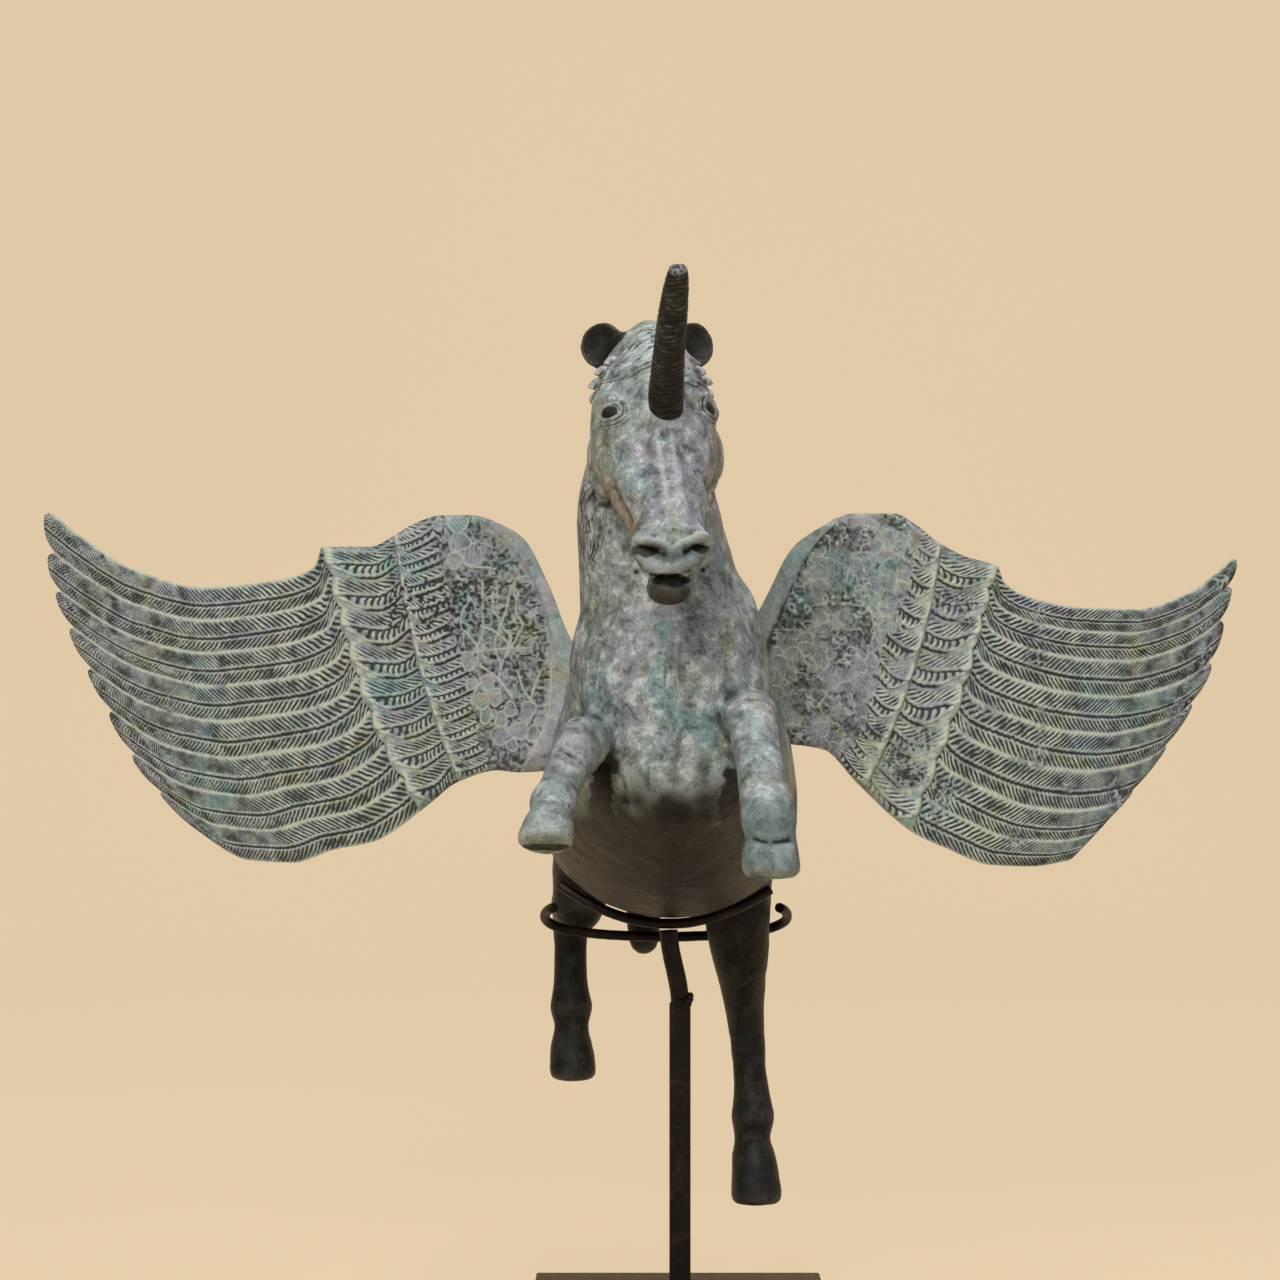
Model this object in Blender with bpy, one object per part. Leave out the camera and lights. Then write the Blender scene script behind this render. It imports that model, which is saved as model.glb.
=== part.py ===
"""A winged unicorn cast in bronze, leaping, held by a bent iron cradle on a post and a flat base.

Metres, +Z up. The figure faces -Y. The origin is the middle of the underside of the base plate.
The figure and its cradle are drawn in millimetres, tip to tip DRAWN_SPREAD wide, and scaled to WING_SPREAD.
The stand carries the whole figure: its height follows from the plate, the post and the neck.
"""

import math

import bmesh
import bpy
import numpy as np
from mathutils import Matrix, Vector
from mathutils.bvhtree import BVHTree

WING_SPREAD = 0.6646
DRAWN_SPREAD = 664.6
UNIT = WING_SPREAD / DRAWN_SPREAD

# Stand, in metres
PLATE_WIDTH = 0.163
PLATE_DEPTH = 0.180
PLATE_THICKNESS = 0.010
PLATE_EDGE = 0.0012
POST_SIDE = 0.0115
POST_EDGE = 0.0010
POST_HEIGHT = 0.1655
NECK_DIAMETER = 0.0108
NECK_HEIGHT = 0.0396
ROD_DIAMETER = 0.0062
SEAT_GAP = 0.0003
ROD_POINTS = 33
NECK_POINTS = 9
LIFT_STEP = 0.001

# Cradle, drawn with the figure
CRADLE_LEVEL = 188
FRONT_ROD_LOW_X = -6.2
FRONT_ROD_LEFT = 60
FRONT_ROD_RIGHT = 56
FRONT_ROD_SWING = 12
FRONT_ROD_RISE = 20.5
REAR_ROD_Y = 85
REAR_ROD_MIDDLE_X = -7
REAR_ROD_HALF = 69.5
REAR_ROD_SPRING = 4
CURL_REACH = 35
CURL_RISE = 16
CURL_TURN = 6

# Casting
BODY_VOXEL = 0.0019
BODY_FACES = 3300
HEAD_FACES = 2400
HEAD_FLOOR = 396
HEAD_BACK = -112
WING_FACES = 2350
LIMB_SIDES = 20
BODY_SIDES = 36
STATION_STEPS = 6
BLEND_ROUNDS = 15

# Wings
FEATHER_COUNT = 8
FEATHER_ROUNDING = 2.5
COVERT_SCALLOP = 0.16
COVERT_EDGE_SHARPNESS = 14
COVERT_FALL = 0.8
COVERT_FLOOR = 0.25
ROLL_COLUMNS = 12
COVERT_COLUMNS = 36
FEATHER_COLUMNS = 37
WING_ROWS = 100
WING_HALF_THICKNESS = 0.0022
WING_EDGE_HALF = 0.0012
ROLL_BULGE = 0.0045
FEATHER_BAND = 4
FEATHER_RIDGE = 0.0013
COVERT_RIDGE_SHARE = 0.8
RELIEF_MARGIN = 0.05
COVERT_STEP = 0.0016
TIP_BAND = 5
NOTCH_DEPTH = 0.030
NOTCH_LENGTH = 0.25
EDGE_SIDE_SHARE = 0.0625
EDGE_TIP_SHARE = 0.167
ROLL_END = 1.35
ROLL_FALL = 0.8
BACK_RELIEF = 0.4
WING_SWEEP = 44
WING_SWEEP_POWER = 1.4
WING_ROOT_Y = -22
WING_REACH = 285
WING_LEAN = 0.16
WING_MIDDLE_Z = 350
BODY_MIDDLE_X = -8
ROOT_HALF = 50

# Horn and ears
HORN_BASE = (-10.0, -165.5, 471.0)
HORN_TIP = (-3.6, -237.0, 549.5)
HORN_RADIUS = 0.0086
HORN_RINGS = 13
HORN_RIDGE = 0.0004
HORN_SIDES = 14
HORN_BEND = 0.0012
HORN_TAPER = ((0, 1.0), (0.25, 1.0), (0.5, 0.9), (0.75, 0.70), (0.9, 0.50), (0.97, 0.32), (1.0, 0.10))
EAR_HALF_WIDTH = 0.0115
EAR_HALF_HEIGHT = 0.0130
EAR_CUP_DEPTH = 0.0085
EAR_TILT = 0.25
EAR_SIDES = 14
LEFT_EAR = (-41.5, -123, 523.2)
LEFT_EAR_TURN = -0.25
RIGHT_EAR = (5.5, -123, 523.2)
RIGHT_EAR_TURN = 0.30
# Cup profile from the root behind, over the rim and down into the hollow: reach and depth.
EAR_PROFILE = (
    (0.35, 0.9), (0.8, 0.55), (1.0, 0.0), (0.96, -0.22),
    (0.80, -0.22), (0.68, 0.0), (0.5, 0.3), (0.25, 0.42),
)

# Rows of the barrel: y, x, height of the widest line, half width, rise above it, drop below it.
BARREL = (
    (-161, -5, 306, 5, 5, 5),
    (-157, -5, 306, 20, 26, 13),
    (-147, -5, 307, 34, 52, 23),
    (-128, -6, 307, 46, 74, 34),
    (-100, -6, 303, 56, 88, 45),
    (-62, -5, 293, 63, 100, 54),
    (-22, -5, 282, 68, 106, 57),
    (20, -5, 271, 69, 104, 48),
    (60, -6, 265, 68, 98, 43),
    (100, -7, 262, 66, 90, 42),
    (140, -8, 258, 61, 80, 42),
    (172, -9, 254, 50, 64, 42),
    (192, -10, 252, 33, 42, 34),
    (202, -10, 252, 8, 10, 10),
)

# Rows of a limb: x, y, z, half width from side to side, half depth from front to back.
NECK = (
    (-6, -48, 308, 56, 67),
    (-7, -76, 340, 54, 76),
    (-9, -93, 380, 45, 61),
    (-14, -101, 412, 39.5, 50),
    (-18, -106, 445, 35.5, 42),
    (-17, -108, 478, 28, 35),
    (-16, -108, 502, 24, 26),
    (-16, -108, 518, 9, 9),
)
HEAD = (
    (-17, -100, 528, 8, 7),
    (-17, -106, 524, 15, 14),
    (-17, -118, 513, 22, 23),
    (-17, -130, 500, 27, 30),
    (-16, -143, 487, 30.5, 33),
    (-15, -155, 472, 31.5, 33),
    (-13.5, -167, 457, 29, 28),
    (-11, -179, 443, 23, 22),
    (-9, -190, 430, 18.5, 18),
    (-7.5, -201, 418, 17.5, 16),
    (-6.5, -209, 409, 14, 12),
    (-6.2, -213, 404, 6, 5),
)
TAIL = (
    (-10, 178, 318, 13, 13),
    (-11, 196, 326, 12, 12),
    (-13, 212, 316, 12, 11),
    (-16, 219, 290, 12.5, 11),
    (-18, 218, 255, 12.5, 11),
    (-20, 213, 222, 11.5, 10),
    (-19.5, 208, 197, 10.6, 9),
    (-19.5, 205, 184.5, 8, 7),
    (-19.5, 204.5, 181, 3, 3),
)
LEFT_FORELEG = (
    (-42, -78, 308, 20, 26),
    (-46, -112, 314, 17, 20),
    (-49, -142, 320, 14, 15),
    (-50, -168, 324, 12.8, 13),
    (-53, -184, 319, 11.4, 12),
    (-57.5, -197, 309.5, 10.4, 11),
    (-61, -210, 301, 10.4, 11),
    (-63, -219, 296.5, 11.8, 12.2),
    (-63.6, -228, 291.5, 10.2, 10.5),
    (-64, -235, 288.5, 10.8, 10),
    (-64.5, -237, 287, 8, 8),
)
LEFT_FORE_HOOF = (
    (-63.8, -233, 291.5, 9, 9),
    (-64.3, -235.5, 289.2, 11.6, 10.5),
    (-65.2, -240, 284, 12.8, 12),
    (-66, -243.5, 279.5, 14, 13),
    (-66, -244, 278.6, 12, 11),
)
RIGHT_FORELEG = (
    (32, -72, 318, 20, 26),
    (33, -104, 328, 17.5, 20),
    (33, -138, 335, 14.5, 15),
    (32, -162, 336, 12.5, 12.5),
    (33.5, -178, 330, 12.2, 12),
    (35, -193, 319, 11.8, 11),
    (36.5, -206, 307, 12, 11.2),
    (38, -215, 297, 13, 13),
    (39, -219, 289, 13.8, 12.8),
    (39.8, -220, 283, 12.6, 11.2),
    (39.8, -220, 279, 10, 9),
)
RIGHT_FORE_HOOF = (
    (39.4, -219, 281, 10, 9),
    (39.6, -220, 278.8, 13.2, 12),
    (40, -222, 271, 14, 13.5),
    (40.2, -224, 264.5, 14, 14.5),
    (40.2, -224.5, 262, 12, 12.5),
)
LEFT_THIGH = (
    (-40, 160, 286, 24, 34),
    (-48, 134, 262, 22, 34),
    (-55, 108, 240, 18, 27),
    (-57, 94, 223.5, 15.5, 18.5),
    (-59, 116, 219, 15, 16),
    (-61, 142, 217, 13, 14),
    (-63, 162, 212, 11.5, 13),
    (-64, 172, 206, 11, 12.5),
    (-63.8, 173, 193, 10.2, 11),
    (-63.5, 171, 172, 10.4, 10.5),
    (-63.3, 169.5, 160, 12, 12),
    (-63, 168.5, 152.5, 13.2, 13.2),
    (-63, 167, 142, 10.4, 10.5),
    (-63, 165.5, 134, 12, 12),
    (-63, 165, 131, 9, 9),
)
LEFT_HIND_HOOF = (
    (-63, 166, 137, 9, 9),
    (-63, 165.5, 134, 12.4, 12.6),
    (-62.6, 163, 124, 13.8, 14.6),
    (-62, 161, 113.5, 14.2, 16),
    (-62, 161, 111, 12.5, 14),
)
RIGHT_THIGH = (
    (26, 140, 292, 26, 36),
    (30, 104, 262, 25, 33),
    (32, 72, 238, 22, 27),
    (33, 56, 217, 18.8, 20),
    (34.5, 58, 200, 17, 17.5),
    (36.5, 66, 180, 13.2, 15.5),
    (37.8, 71, 164, 11.4, 14.5),
    (39, 70, 150, 10.2, 12),
    (40.5, 66, 130, 9.8, 10.5),
    (41.8, 62, 113, 11, 11.5),
    (42.2, 60.5, 104.5, 12.8, 13),
    (41.6, 58, 92, 10.2, 10.5),
    (42, 56, 86, 12, 12),
    (42, 55.5, 83, 9, 9),
)
RIGHT_HIND_HOOF = (
    (41.8, 57, 89, 9, 9),
    (42, 56, 86.5, 12.2, 12.6),
    (43, 52.5, 74, 13.6, 15),
    (43.6, 49.5, 60, 14.8, 17),
    (43.6, 49.3, 57, 13, 15),
)

# Rounded masses: centre x, y, z and radii.
MASSES = (
    (-34, -104, 344, 25, 36, 66),
    (20, -102, 346, 25, 36, 66),
    (-6, -128, 351, 47, 30, 55),
    (-34, 128, 286, 32, 52, 50),
    (20, 126, 288, 32, 52, 50),
    (-35, -141, 464, 14, 17, 21),
    (6.5, -141, 464, 14, 17, 21),
    (-16, -205, 419, 11, 10, 9),
    (3, -205, 420, 10, 10, 9),
    (-8, -202, 398, 11.5, 10.5, 8),
    (-17, -114, 526, 11, 14, 11),
    (-36, -150, 485, 9, 7, 6.5),
    (11, -146, 487, 7.5, 7, 6.5),
)

# Mane locks: each a wavy rope of hair from the crest down the figure's right side of the neck.
MANE_LOCKS = 7
MANE_TOP = (-24, -84, 518)
MANE_FOOT = (-40, -34, 392)
LOCK_LENGTH = 58
LOCK_RADIUS = 6.5
LOCK_WAVE = 4.0
LOCK_STATIONS = 7
LOCK_SPREAD_TOP = 14
LOCK_SPREAD_FOOT = 22
LOCK_SLANT = 18

# Wing outlines: band number along the wing from root 0 to tips 5, then x and z.
LEFT_WING = {
    "top": (
        (0, -104, 440), (1, -114, 442), (2, -131, 442), (2.5, -146, 437), (3, -156, 431),
        (3.5, -170, 425), (4, -196, 425), (4.06, -200, 414), (4.2, -220, 407),
        (4.45, -261, 403), (4.7, -304, 414), (4.87, -332, 431), (5, -356, 449),
    ),
    "bottom": (
        (0, -45, 306), (1, -86, 303), (2, -99, 304), (3, -119, 298), (4, -140, 282),
        (4.2, -164, 266), (4.4, -187, 261), (4.6, -209, 254), (4.8, -233, 255), (5, -270, 275),
    ),
    "coverts": ((4, 8), (3, 12)),
    "borders": (
        ((0.2, -86, 430), (0.4, -71, 403), (0.55, -61, 378), (0.7, -45, 352), (0.85, -42, 328)),
        ((0.2, -97, 427), (0.4, -79, 404), (0.6, -70, 372), (0.8, -71, 338)),
        ((0.25, -124, 402), (0.5, -114, 366), (0.75, -106, 336)),
        ((0.25, -150, 397), (0.5, -141, 359), (0.75, -131, 328)),
        ((0.25, -187, 390), (0.5, -176, 353), (0.75, -161, 316)),
        ((0.2, -351, 413), (0.4, -339, 380), (0.6, -320, 343), (0.8, -298, 306)),
    ),
}
RIGHT_WING = {
    "top": (
        (0, 84, 440), (1, 95, 443), (2, 117, 443), (2.5, 130, 436), (3, 140, 428),
        (3.5, 155, 420), (4, 174, 414), (4.06, 177, 406), (4.2, 193, 397),
        (4.4, 220, 392), (4.6, 251, 391), (4.8, 283, 401), (5, 311, 422),
    ),
    "bottom": (
        (0, 28, 320), (1, 59, 318), (2, 77, 315), (3, 96, 296), (4, 124, 271),
        (4.25, 143, 262), (4.5, 167, 253), (4.75, 190, 252), (4.9, 209, 255), (5, 221, 265),
    ),
    "coverts": ((4, 8), (3.1, 9)),
    "borders": (
        ((0.2, 62, 425), (0.4, 47, 398), (0.6, 34, 372), (0.8, 26, 345)),
        ((0.2, 81, 417), (0.4, 68, 390), (0.6, 60, 368), (0.8, 56, 342)),
        ((0.25, 109, 402), (0.5, 98, 365), (0.75, 89, 336)),
        ((0.25, 133, 391), (0.5, 122, 354), (0.75, 108, 319)),
        ((0.25, 166, 386), (0.5, 155, 348), (0.75, 140, 309)),
        ((0.2, 305, 396), (0.4, 294, 360), (0.6, 273, 324), (0.8, 243, 287)),
    ),
}


# Tool marks seen from the front: x and z of the path, radius and depth. A ridge has a negative depth.
FACE_MARKS = (
    (((-9.9, 472.6), (-8.4, 460.9), (-6.4, 448.4), (-5.1, 440.1)), 2.0, 0.5),
    (((-13.2, 474.7), (-12.4, 463.6), (-10.0, 449.8), (-8.4, 438.8), (-9.2, 430.5)), 1.8, -0.8),
    (((-7.0, 474.0), (-5.3, 463.6), (-2.0, 452.6), (-0.9, 444.3)), 1.8, -0.7),
    (((-19.1, 466.7), (-17.5, 450.1), (-15.5, 434.8)), 6.0, 1.6),
    (((1.6, 466.7), (4.1, 450.1), (4.4, 434.8)), 6.0, 1.6),
    (((-47.7, 453.6), (-46.6, 446.6), (-43.2, 441.9), (-39.3, 440.6), (-37.3, 445.2), (-33.7, 453.6)),
     2.8, 2.0),
    (((-35.1, 445.9), (-30.9, 437.6), (-26.8, 428.6)), 5.0, 3.0),
    (((18.1, 453.6), (16.7, 446.6), (14.8, 442.4), (13.1, 446.6)), 2.6, 1.8),
    (((11.3, 450.1), (10.7, 439.0), (11.3, 430.7)), 4.5, 2.2),
    (((-44.5, 491.5), (-41.5, 493.7), (-35.9, 494.6), (-30.9, 492.0), (-28.1, 488.1)), 2.8, -1.5),
    (((6.9, 488.7), (8.0, 492.6), (10.8, 495.4), (14.4, 492.6)), 2.8, -1.5),
    (((-43.1, 476.6), (-37.2, 474.5), (-29.6, 475.9)), 2.8, 1.4),
    (((-26.8, 499.3), (-25.4, 490.9), (-24.4, 481.1)), 5.5, 1.6),
    (((3.4, 499.3), (4.3, 489.5), (4.6, 481.1)), 5.0, 1.4),
)
MUZZLE_MARKS = (
    (((-20.3, 416.3), (-16.0, 415.0), (-12.4, 414.6)), 3.8, 6.0),
    (((-24.9, 418.7), (-23.5, 422.1), (-19.2, 423.1), (-13.8, 420.6)), 1.9, -1.8),
    (((-2.0, 416.0), (3.2, 416.6), (7.9, 418.0)), 3.8, 6.0),
    (((0.9, 421.8), (5.0, 424.2), (9.6, 423.6), (11.8, 419.8)), 1.9, -1.8),
    (((-24.4, 411.6), (-19.2, 407.8), (-13.8, 405.7), (-5.6, 405.1), (2.6, 407.0), (9.4, 410.6),
      (11.8, 414.0)), 2.4, -1.4),
    (((-18.5, 403.9), (-13.8, 401.8), (-8.3, 400.8), (-1.1, 401.2), (5.0, 403.6)), 2.2, 4.6),
)
CHEST_MARKS = (
    (((-7.9, 369.1), (-7.5, 349.3), (-7.0, 329.5)), 4.0, 0.7),
    (((-36.8, 311.5), (-33.8, 302.5), (-30.8, 292.1)), 6.0, 4.0),
    (((13.2, 311.0), (12.2, 301.5), (11.2, 290.6)), 6.0, 4.0),
)
# Crease above the right fore hoof: x, y and z of the path.
CREASE = ((((26, -228, 281.5), (39, -234, 279.5), (53, -228, 280.5)), 1.8, 2.4),)
FRONT_VIEW_Y = -600
OUTLINE_Y = -150


def clear_scene():
    for obj in list(bpy.data.objects):
        bpy.data.objects.remove(obj, do_unlink=True)


def finish_material(name, colour, roughness, metallic):
    material = bpy.data.materials.new(name)
    material.use_nodes = True
    shader = material.node_tree.nodes["Principled BSDF"]
    shader.inputs["Base Color"].default_value = (*colour, 1.0)
    shader.inputs["Roughness"].default_value = roughness
    shader.inputs["Metallic"].default_value = metallic
    return material


def add_object(name, points, faces, material=None):
    mesh = bpy.data.meshes.new(name)
    mesh.from_pydata([tuple(point) for point in points], [], faces)
    mesh.update()
    obj = bpy.data.objects.new(name, mesh)
    bpy.context.scene.collection.objects.link(obj)
    if material:
        mesh.materials.append(material)
    return obj


def hide(obj):
    obj.hide_render = True
    obj.display_type = "WIRE"
    obj.hide_set(True)


def spline(rows, positions):
    """Rows of (key, values...) read at the positions along the key, on a smooth curve."""
    table = np.array(rows, float)
    keys, values = table[:, 0], table[:, 1:]
    chords = np.diff(values, axis=0) / np.diff(keys)[:, None]
    slopes = np.vstack([chords[:1], np.zeros((len(keys) - 2, values.shape[1])), chords[-1:]])
    before, after = chords[:-1], chords[1:]
    same = before * after > 0
    slopes[1:-1][same] = 2 * before[same] * after[same] / (before[same] + after[same])
    place = np.clip(np.searchsorted(keys, positions, side="right") - 1, 0, len(keys) - 2)
    span = keys[place + 1] - keys[place]
    part = ((positions - keys[place]) / span)[:, None]
    span = span[:, None]
    return (
        (2 * part**3 - 3 * part**2 + 1) * values[place]
        + (part**3 - 2 * part**2 + part) * span * slopes[place]
        + (3 * part**2 - 2 * part**3) * values[place + 1]
        + (part**3 - part**2) * span * slopes[place + 1]
    )


def dense(rows, steps=STATION_STEPS):
    """More rows between the given ones, on a smooth curve through them."""
    keyed = [(index, *row) for index, row in enumerate(rows)]
    return spline(keyed, np.linspace(0, len(rows) - 1, (len(rows) - 1) * steps + 1))


def stack_faces(rings, sides):
    """Faces of a closed tube of rings, with a fan of one face on each end."""
    faces = []
    for ring in range(rings - 1):
        for side in range(sides):
            after = (side + 1) % sides
            low, high = ring * sides, (ring + 1) * sides
            faces.append((low + side, low + after, high + after, high + side))
    faces.append(tuple(reversed(range(sides))))
    faces.append(tuple(range((rings - 1) * sides, rings * sides)))
    return faces


def limb(name, rows, sides=LIMB_SIDES):
    """A closed form with elliptical sections, square to the line of its stations."""
    table = dense(rows)
    centres, half_width, half_depth = table[:, :3], table[:, 3], table[:, 4]
    heading = np.gradient(centres, axis=0)
    heading /= np.linalg.norm(heading, axis=1)[:, None]
    across = np.cross(np.cross(heading, (1.0, 0.0, 0.0)), heading)
    across /= np.linalg.norm(across, axis=1)[:, None]
    front = np.cross(heading, across)
    turns = np.linspace(0, 2 * math.pi, sides, endpoint=False)
    points = [
        (centre + math.cos(turn) * wide * side + math.sin(turn) * deep * fore) * UNIT
        for centre, wide, deep, side, fore in zip(centres, half_width, half_depth, across, front)
        for turn in turns
    ]
    return add_object(name, points, stack_faces(len(centres), sides))


def barrel(name, rows):
    """The trunk: upright egg-shaped sections, each wide low down and narrow at the back."""
    points = []
    table = dense(rows)
    for y, x, z, half, rise, drop in table:
        for turn in np.linspace(0, 2 * math.pi, BODY_SIDES, endpoint=False):
            height = math.sin(turn)
            tall = rise if height > 0 else drop
            points.append(((x + half * math.cos(turn)) * UNIT, y * UNIT, (z + tall * height) * UNIT))
    faces = stack_faces(len(table), BODY_SIDES)
    return add_object(name, points, [tuple(reversed(face)) for face in faces])


def mass(name, row):
    """One rounded mass of muscle, bone or lip."""
    x, y, z, wide, deep, tall = row
    mesh = bpy.data.meshes.new(name)
    build = bmesh.new()
    bmesh.ops.create_icosphere(build, subdivisions=3, radius=1.0)
    for vertex in build.verts:
        place = vertex.co
        vertex.co = ((x + wide * place.x) * UNIT, (y + deep * place.y) * UNIT, (z + tall * place.z) * UNIT)
    build.to_mesh(mesh)
    build.free()
    obj = bpy.data.objects.new(name, mesh)
    bpy.context.scene.collection.objects.link(obj)
    return obj


def mane():
    """Wavy locks side by side, from the poll down the crest to the withers."""
    locks = []
    top, foot = np.array(MANE_TOP, float), np.array(MANE_FOOT, float)
    for index in range(MANE_LOCKS):
        share = index / (MANE_LOCKS - 1)
        start = top + (foot - top) * share
        spread = LOCK_SPREAD_TOP + (LOCK_SPREAD_FOOT - LOCK_SPREAD_TOP) * share
        rows = []
        for step in np.linspace(0, 1, LOCK_STATIONS):
            sway = LOCK_WAVE * math.sin(2 * math.pi * step + index)
            radius = LOCK_RADIUS * (1.0 - 0.6 * step) * (0.5 if step == 1 else 1.0)
            rows.append((
                start[0] - spread * math.sin(step * math.pi * 0.4),
                start[1] + sway - LOCK_SLANT * step,
                start[2] - LOCK_LENGTH * step,
                radius * 0.75,
                radius * 1.2,
            ))
        locks.append(limb(f"lock_{index}", rows, 12))
    return locks


def joined(name, parts):
    """One object that holds the meshes of all the parts."""
    points, faces = [], []
    for part in parts:
        first = len(points)
        points.extend(tuple(vertex.co) for vertex in part.data.vertices)
        faces.extend(tuple(first + index for index in face.vertices) for face in part.data.polygons)
        bpy.data.objects.remove(part, do_unlink=True)
    return add_object(name, points, faces)


def baked(obj):
    """The object with its modifiers made part of its mesh."""
    graph = bpy.context.evaluated_depsgraph_get()
    mesh = bpy.data.meshes.new_from_object(obj.evaluated_get(graph))
    obj.modifiers.clear()
    obj.data = mesh
    return obj


def triangulated(obj):
    build = bmesh.new()
    build.from_mesh(obj.data)
    bmesh.ops.triangulate(build, faces=build.faces)
    build.to_mesh(obj.data)
    build.free()
    return obj


def thinned(obj, faces):
    """The object with about the given number of triangles, kept where the form turns most."""
    triangulated(obj)
    collapse = obj.modifiers.new("collapse", "DECIMATE")
    collapse.ratio = min(1.0, faces / len(obj.data.polygons))
    return baked(obj)


def thinned_apart(obj, chosen, chosen_faces, other_faces):
    """Thins the chosen points' region and the rest to their own numbers of triangles."""
    triangulated(obj)
    group = obj.vertex_groups.new(name="chosen")
    group.add(chosen, 1.0, "REPLACE")
    members = set(chosen)
    dense_faces = sum(1 for face in obj.data.polygons if any(index in members for index in face.vertices))
    rest = obj.modifiers.new("thin_rest", "DECIMATE")
    rest.vertex_group = group.name
    rest.invert_vertex_group = True
    rest.ratio = (dense_faces + other_faces) / len(obj.data.polygons)
    own = obj.modifiers.new("thin_chosen", "DECIMATE")
    own.vertex_group = group.name
    own.ratio = (chosen_faces + other_faces) / (dense_faces + other_faces)
    baked(obj)
    obj.vertex_groups.clear()
    return obj


def seen_from_front(obj, marks):
    """The marks with their paths set on the skin that faces the front, or else on its outline."""
    tree = BVHTree.FromObject(obj, bpy.context.evaluated_depsgraph_get())
    placed = []
    for path, radius, depth in marks:
        route = []
        for x, z in path:
            hit = tree.ray_cast(Vector((x, FRONT_VIEW_Y, z)) * UNIT, Vector((0, 1, 0)))[0]
            place = hit or tree.find_nearest(Vector((x, OUTLINE_Y, z)) * UNIT)[0]
            route.append(place / UNIT)
        placed.append((route, radius, depth))
    return placed


def strokes(obj, marks):
    """Tool marks pressed into the wax: path, radius and depth of each, in drawn millimetres."""
    mesh = obj.data
    count = len(mesh.vertices)
    points = np.empty(count * 3)
    mesh.vertices.foreach_get("co", points)
    points = points.reshape(-1, 3)
    normals = np.empty(count * 3, np.float32)
    mesh.vertices.foreach_get("normal", normals)
    normals = normals.reshape(-1, 3)
    moved = np.zeros(count)
    for path, radius, depth in marks:
        route = np.array(path, float) * UNIT
        nearest = np.full(count, 1.0)
        for start, end in zip(route[:-1], route[1:]):
            line = end - start
            share = np.clip(((points - start) @ line) / max(line @ line, 1e-12), 0, 1)
            gap = np.linalg.norm(points - start - share[:, None] * line, axis=1)
            nearest = np.minimum(nearest, gap)
        moved += np.exp(-((nearest / (radius * UNIT)) ** 2)) * depth * UNIT
    mesh.vertices.foreach_set("co", (points - normals * moved[:, None]).ravel())
    mesh.update()


def figure_body():
    """The body, neck, head, legs, mane and tail, blended into one skin."""
    parts = [
        barrel("barrel", BARREL),
        limb("neck", NECK, BODY_SIDES),
        limb("head", HEAD, BODY_SIDES),
        limb("tail", TAIL),
        limb("left_foreleg", LEFT_FORELEG),
        limb("left_fore_hoof", LEFT_FORE_HOOF),
        limb("right_foreleg", RIGHT_FORELEG),
        limb("right_fore_hoof", RIGHT_FORE_HOOF),
        limb("left_thigh", LEFT_THIGH),
        limb("left_hind_hoof", LEFT_HIND_HOOF),
        limb("right_thigh", RIGHT_THIGH),
        limb("right_hind_hoof", RIGHT_HIND_HOOF),
    ]
    parts += [mass(f"mass_{index}", row) for index, row in enumerate(MASSES)]
    parts += mane()
    skin = joined("unicorn_casting", parts)
    fuse = skin.modifiers.new("fuse", "REMESH")
    fuse.mode = "VOXEL"
    fuse.voxel_size = BODY_VOXEL
    blend = skin.modifiers.new("blend", "SMOOTH")
    blend.factor = 0.5
    blend.iterations = BLEND_ROUNDS
    baked(skin)
    strokes(skin, seen_from_front(skin, FACE_MARKS + CHEST_MARKS))
    strokes(skin, seen_from_front(skin, MUZZLE_MARKS))
    strokes(skin, CREASE)
    head = [
        vertex.index for vertex in skin.data.vertices
        if vertex.co.z > HEAD_FLOOR * UNIT and vertex.co.y < HEAD_BACK * UNIT
    ]
    return thinned_apart(skin, head, HEAD_FACES, BODY_FACES)


def wing_depth(x, z):
    """How far back the middle surface of a wing lies: swept towards the tip and leaning."""
    reach = np.maximum(np.abs(x / UNIT - BODY_MIDDLE_X) - ROOT_HALF, 0.0) / WING_REACH
    lean = WING_LEAN * (z / UNIT - WING_MIDDLE_Z)
    return (WING_ROOT_Y + WING_SWEEP * reach**WING_SWEEP_POWER + lean) * UNIT


def wing_sheet(wing, bands, shares):
    """The middle surface of a wing, as a grid between its top edge, bottom edge and borders."""
    top = spline(wing["top"], bands) * UNIT
    bottom = spline(wing["bottom"], bands) * UNIT
    knots = np.arange(len(wing["borders"]), dtype=float)
    top_knots = spline(wing["top"], knots) * UNIT
    bottom_knots = spline(wing["bottom"], knots) * UNIT
    lines = []
    for index, border in enumerate(wing["borders"]):
        rows = [(0.0, *(top_knots[index] / UNIT)), *border, (1.0, *(bottom_knots[index] / UNIT))]
        lines.append(spline(rows, shares) * UNIT)
    lines = np.array(lines)
    place = np.clip(np.floor(bands).astype(int), 0, len(knots) - 2)
    part = (bands - place)[:, None, None]
    flat = lines[place] * (1 - part) + lines[place + 1] * part
    side = (bands - place)[:, None]
    top_bend = top - (top_knots[place] * (1 - side) + top_knots[place + 1] * side)
    bottom_bend = bottom - (bottom_knots[place] * (1 - side) + bottom_knots[place + 1] * side)
    share = shares[None, :, None]
    flat = flat + top_bend[:, None, :] * (1 - share) + bottom_bend[:, None, :] * share
    return flat


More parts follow.
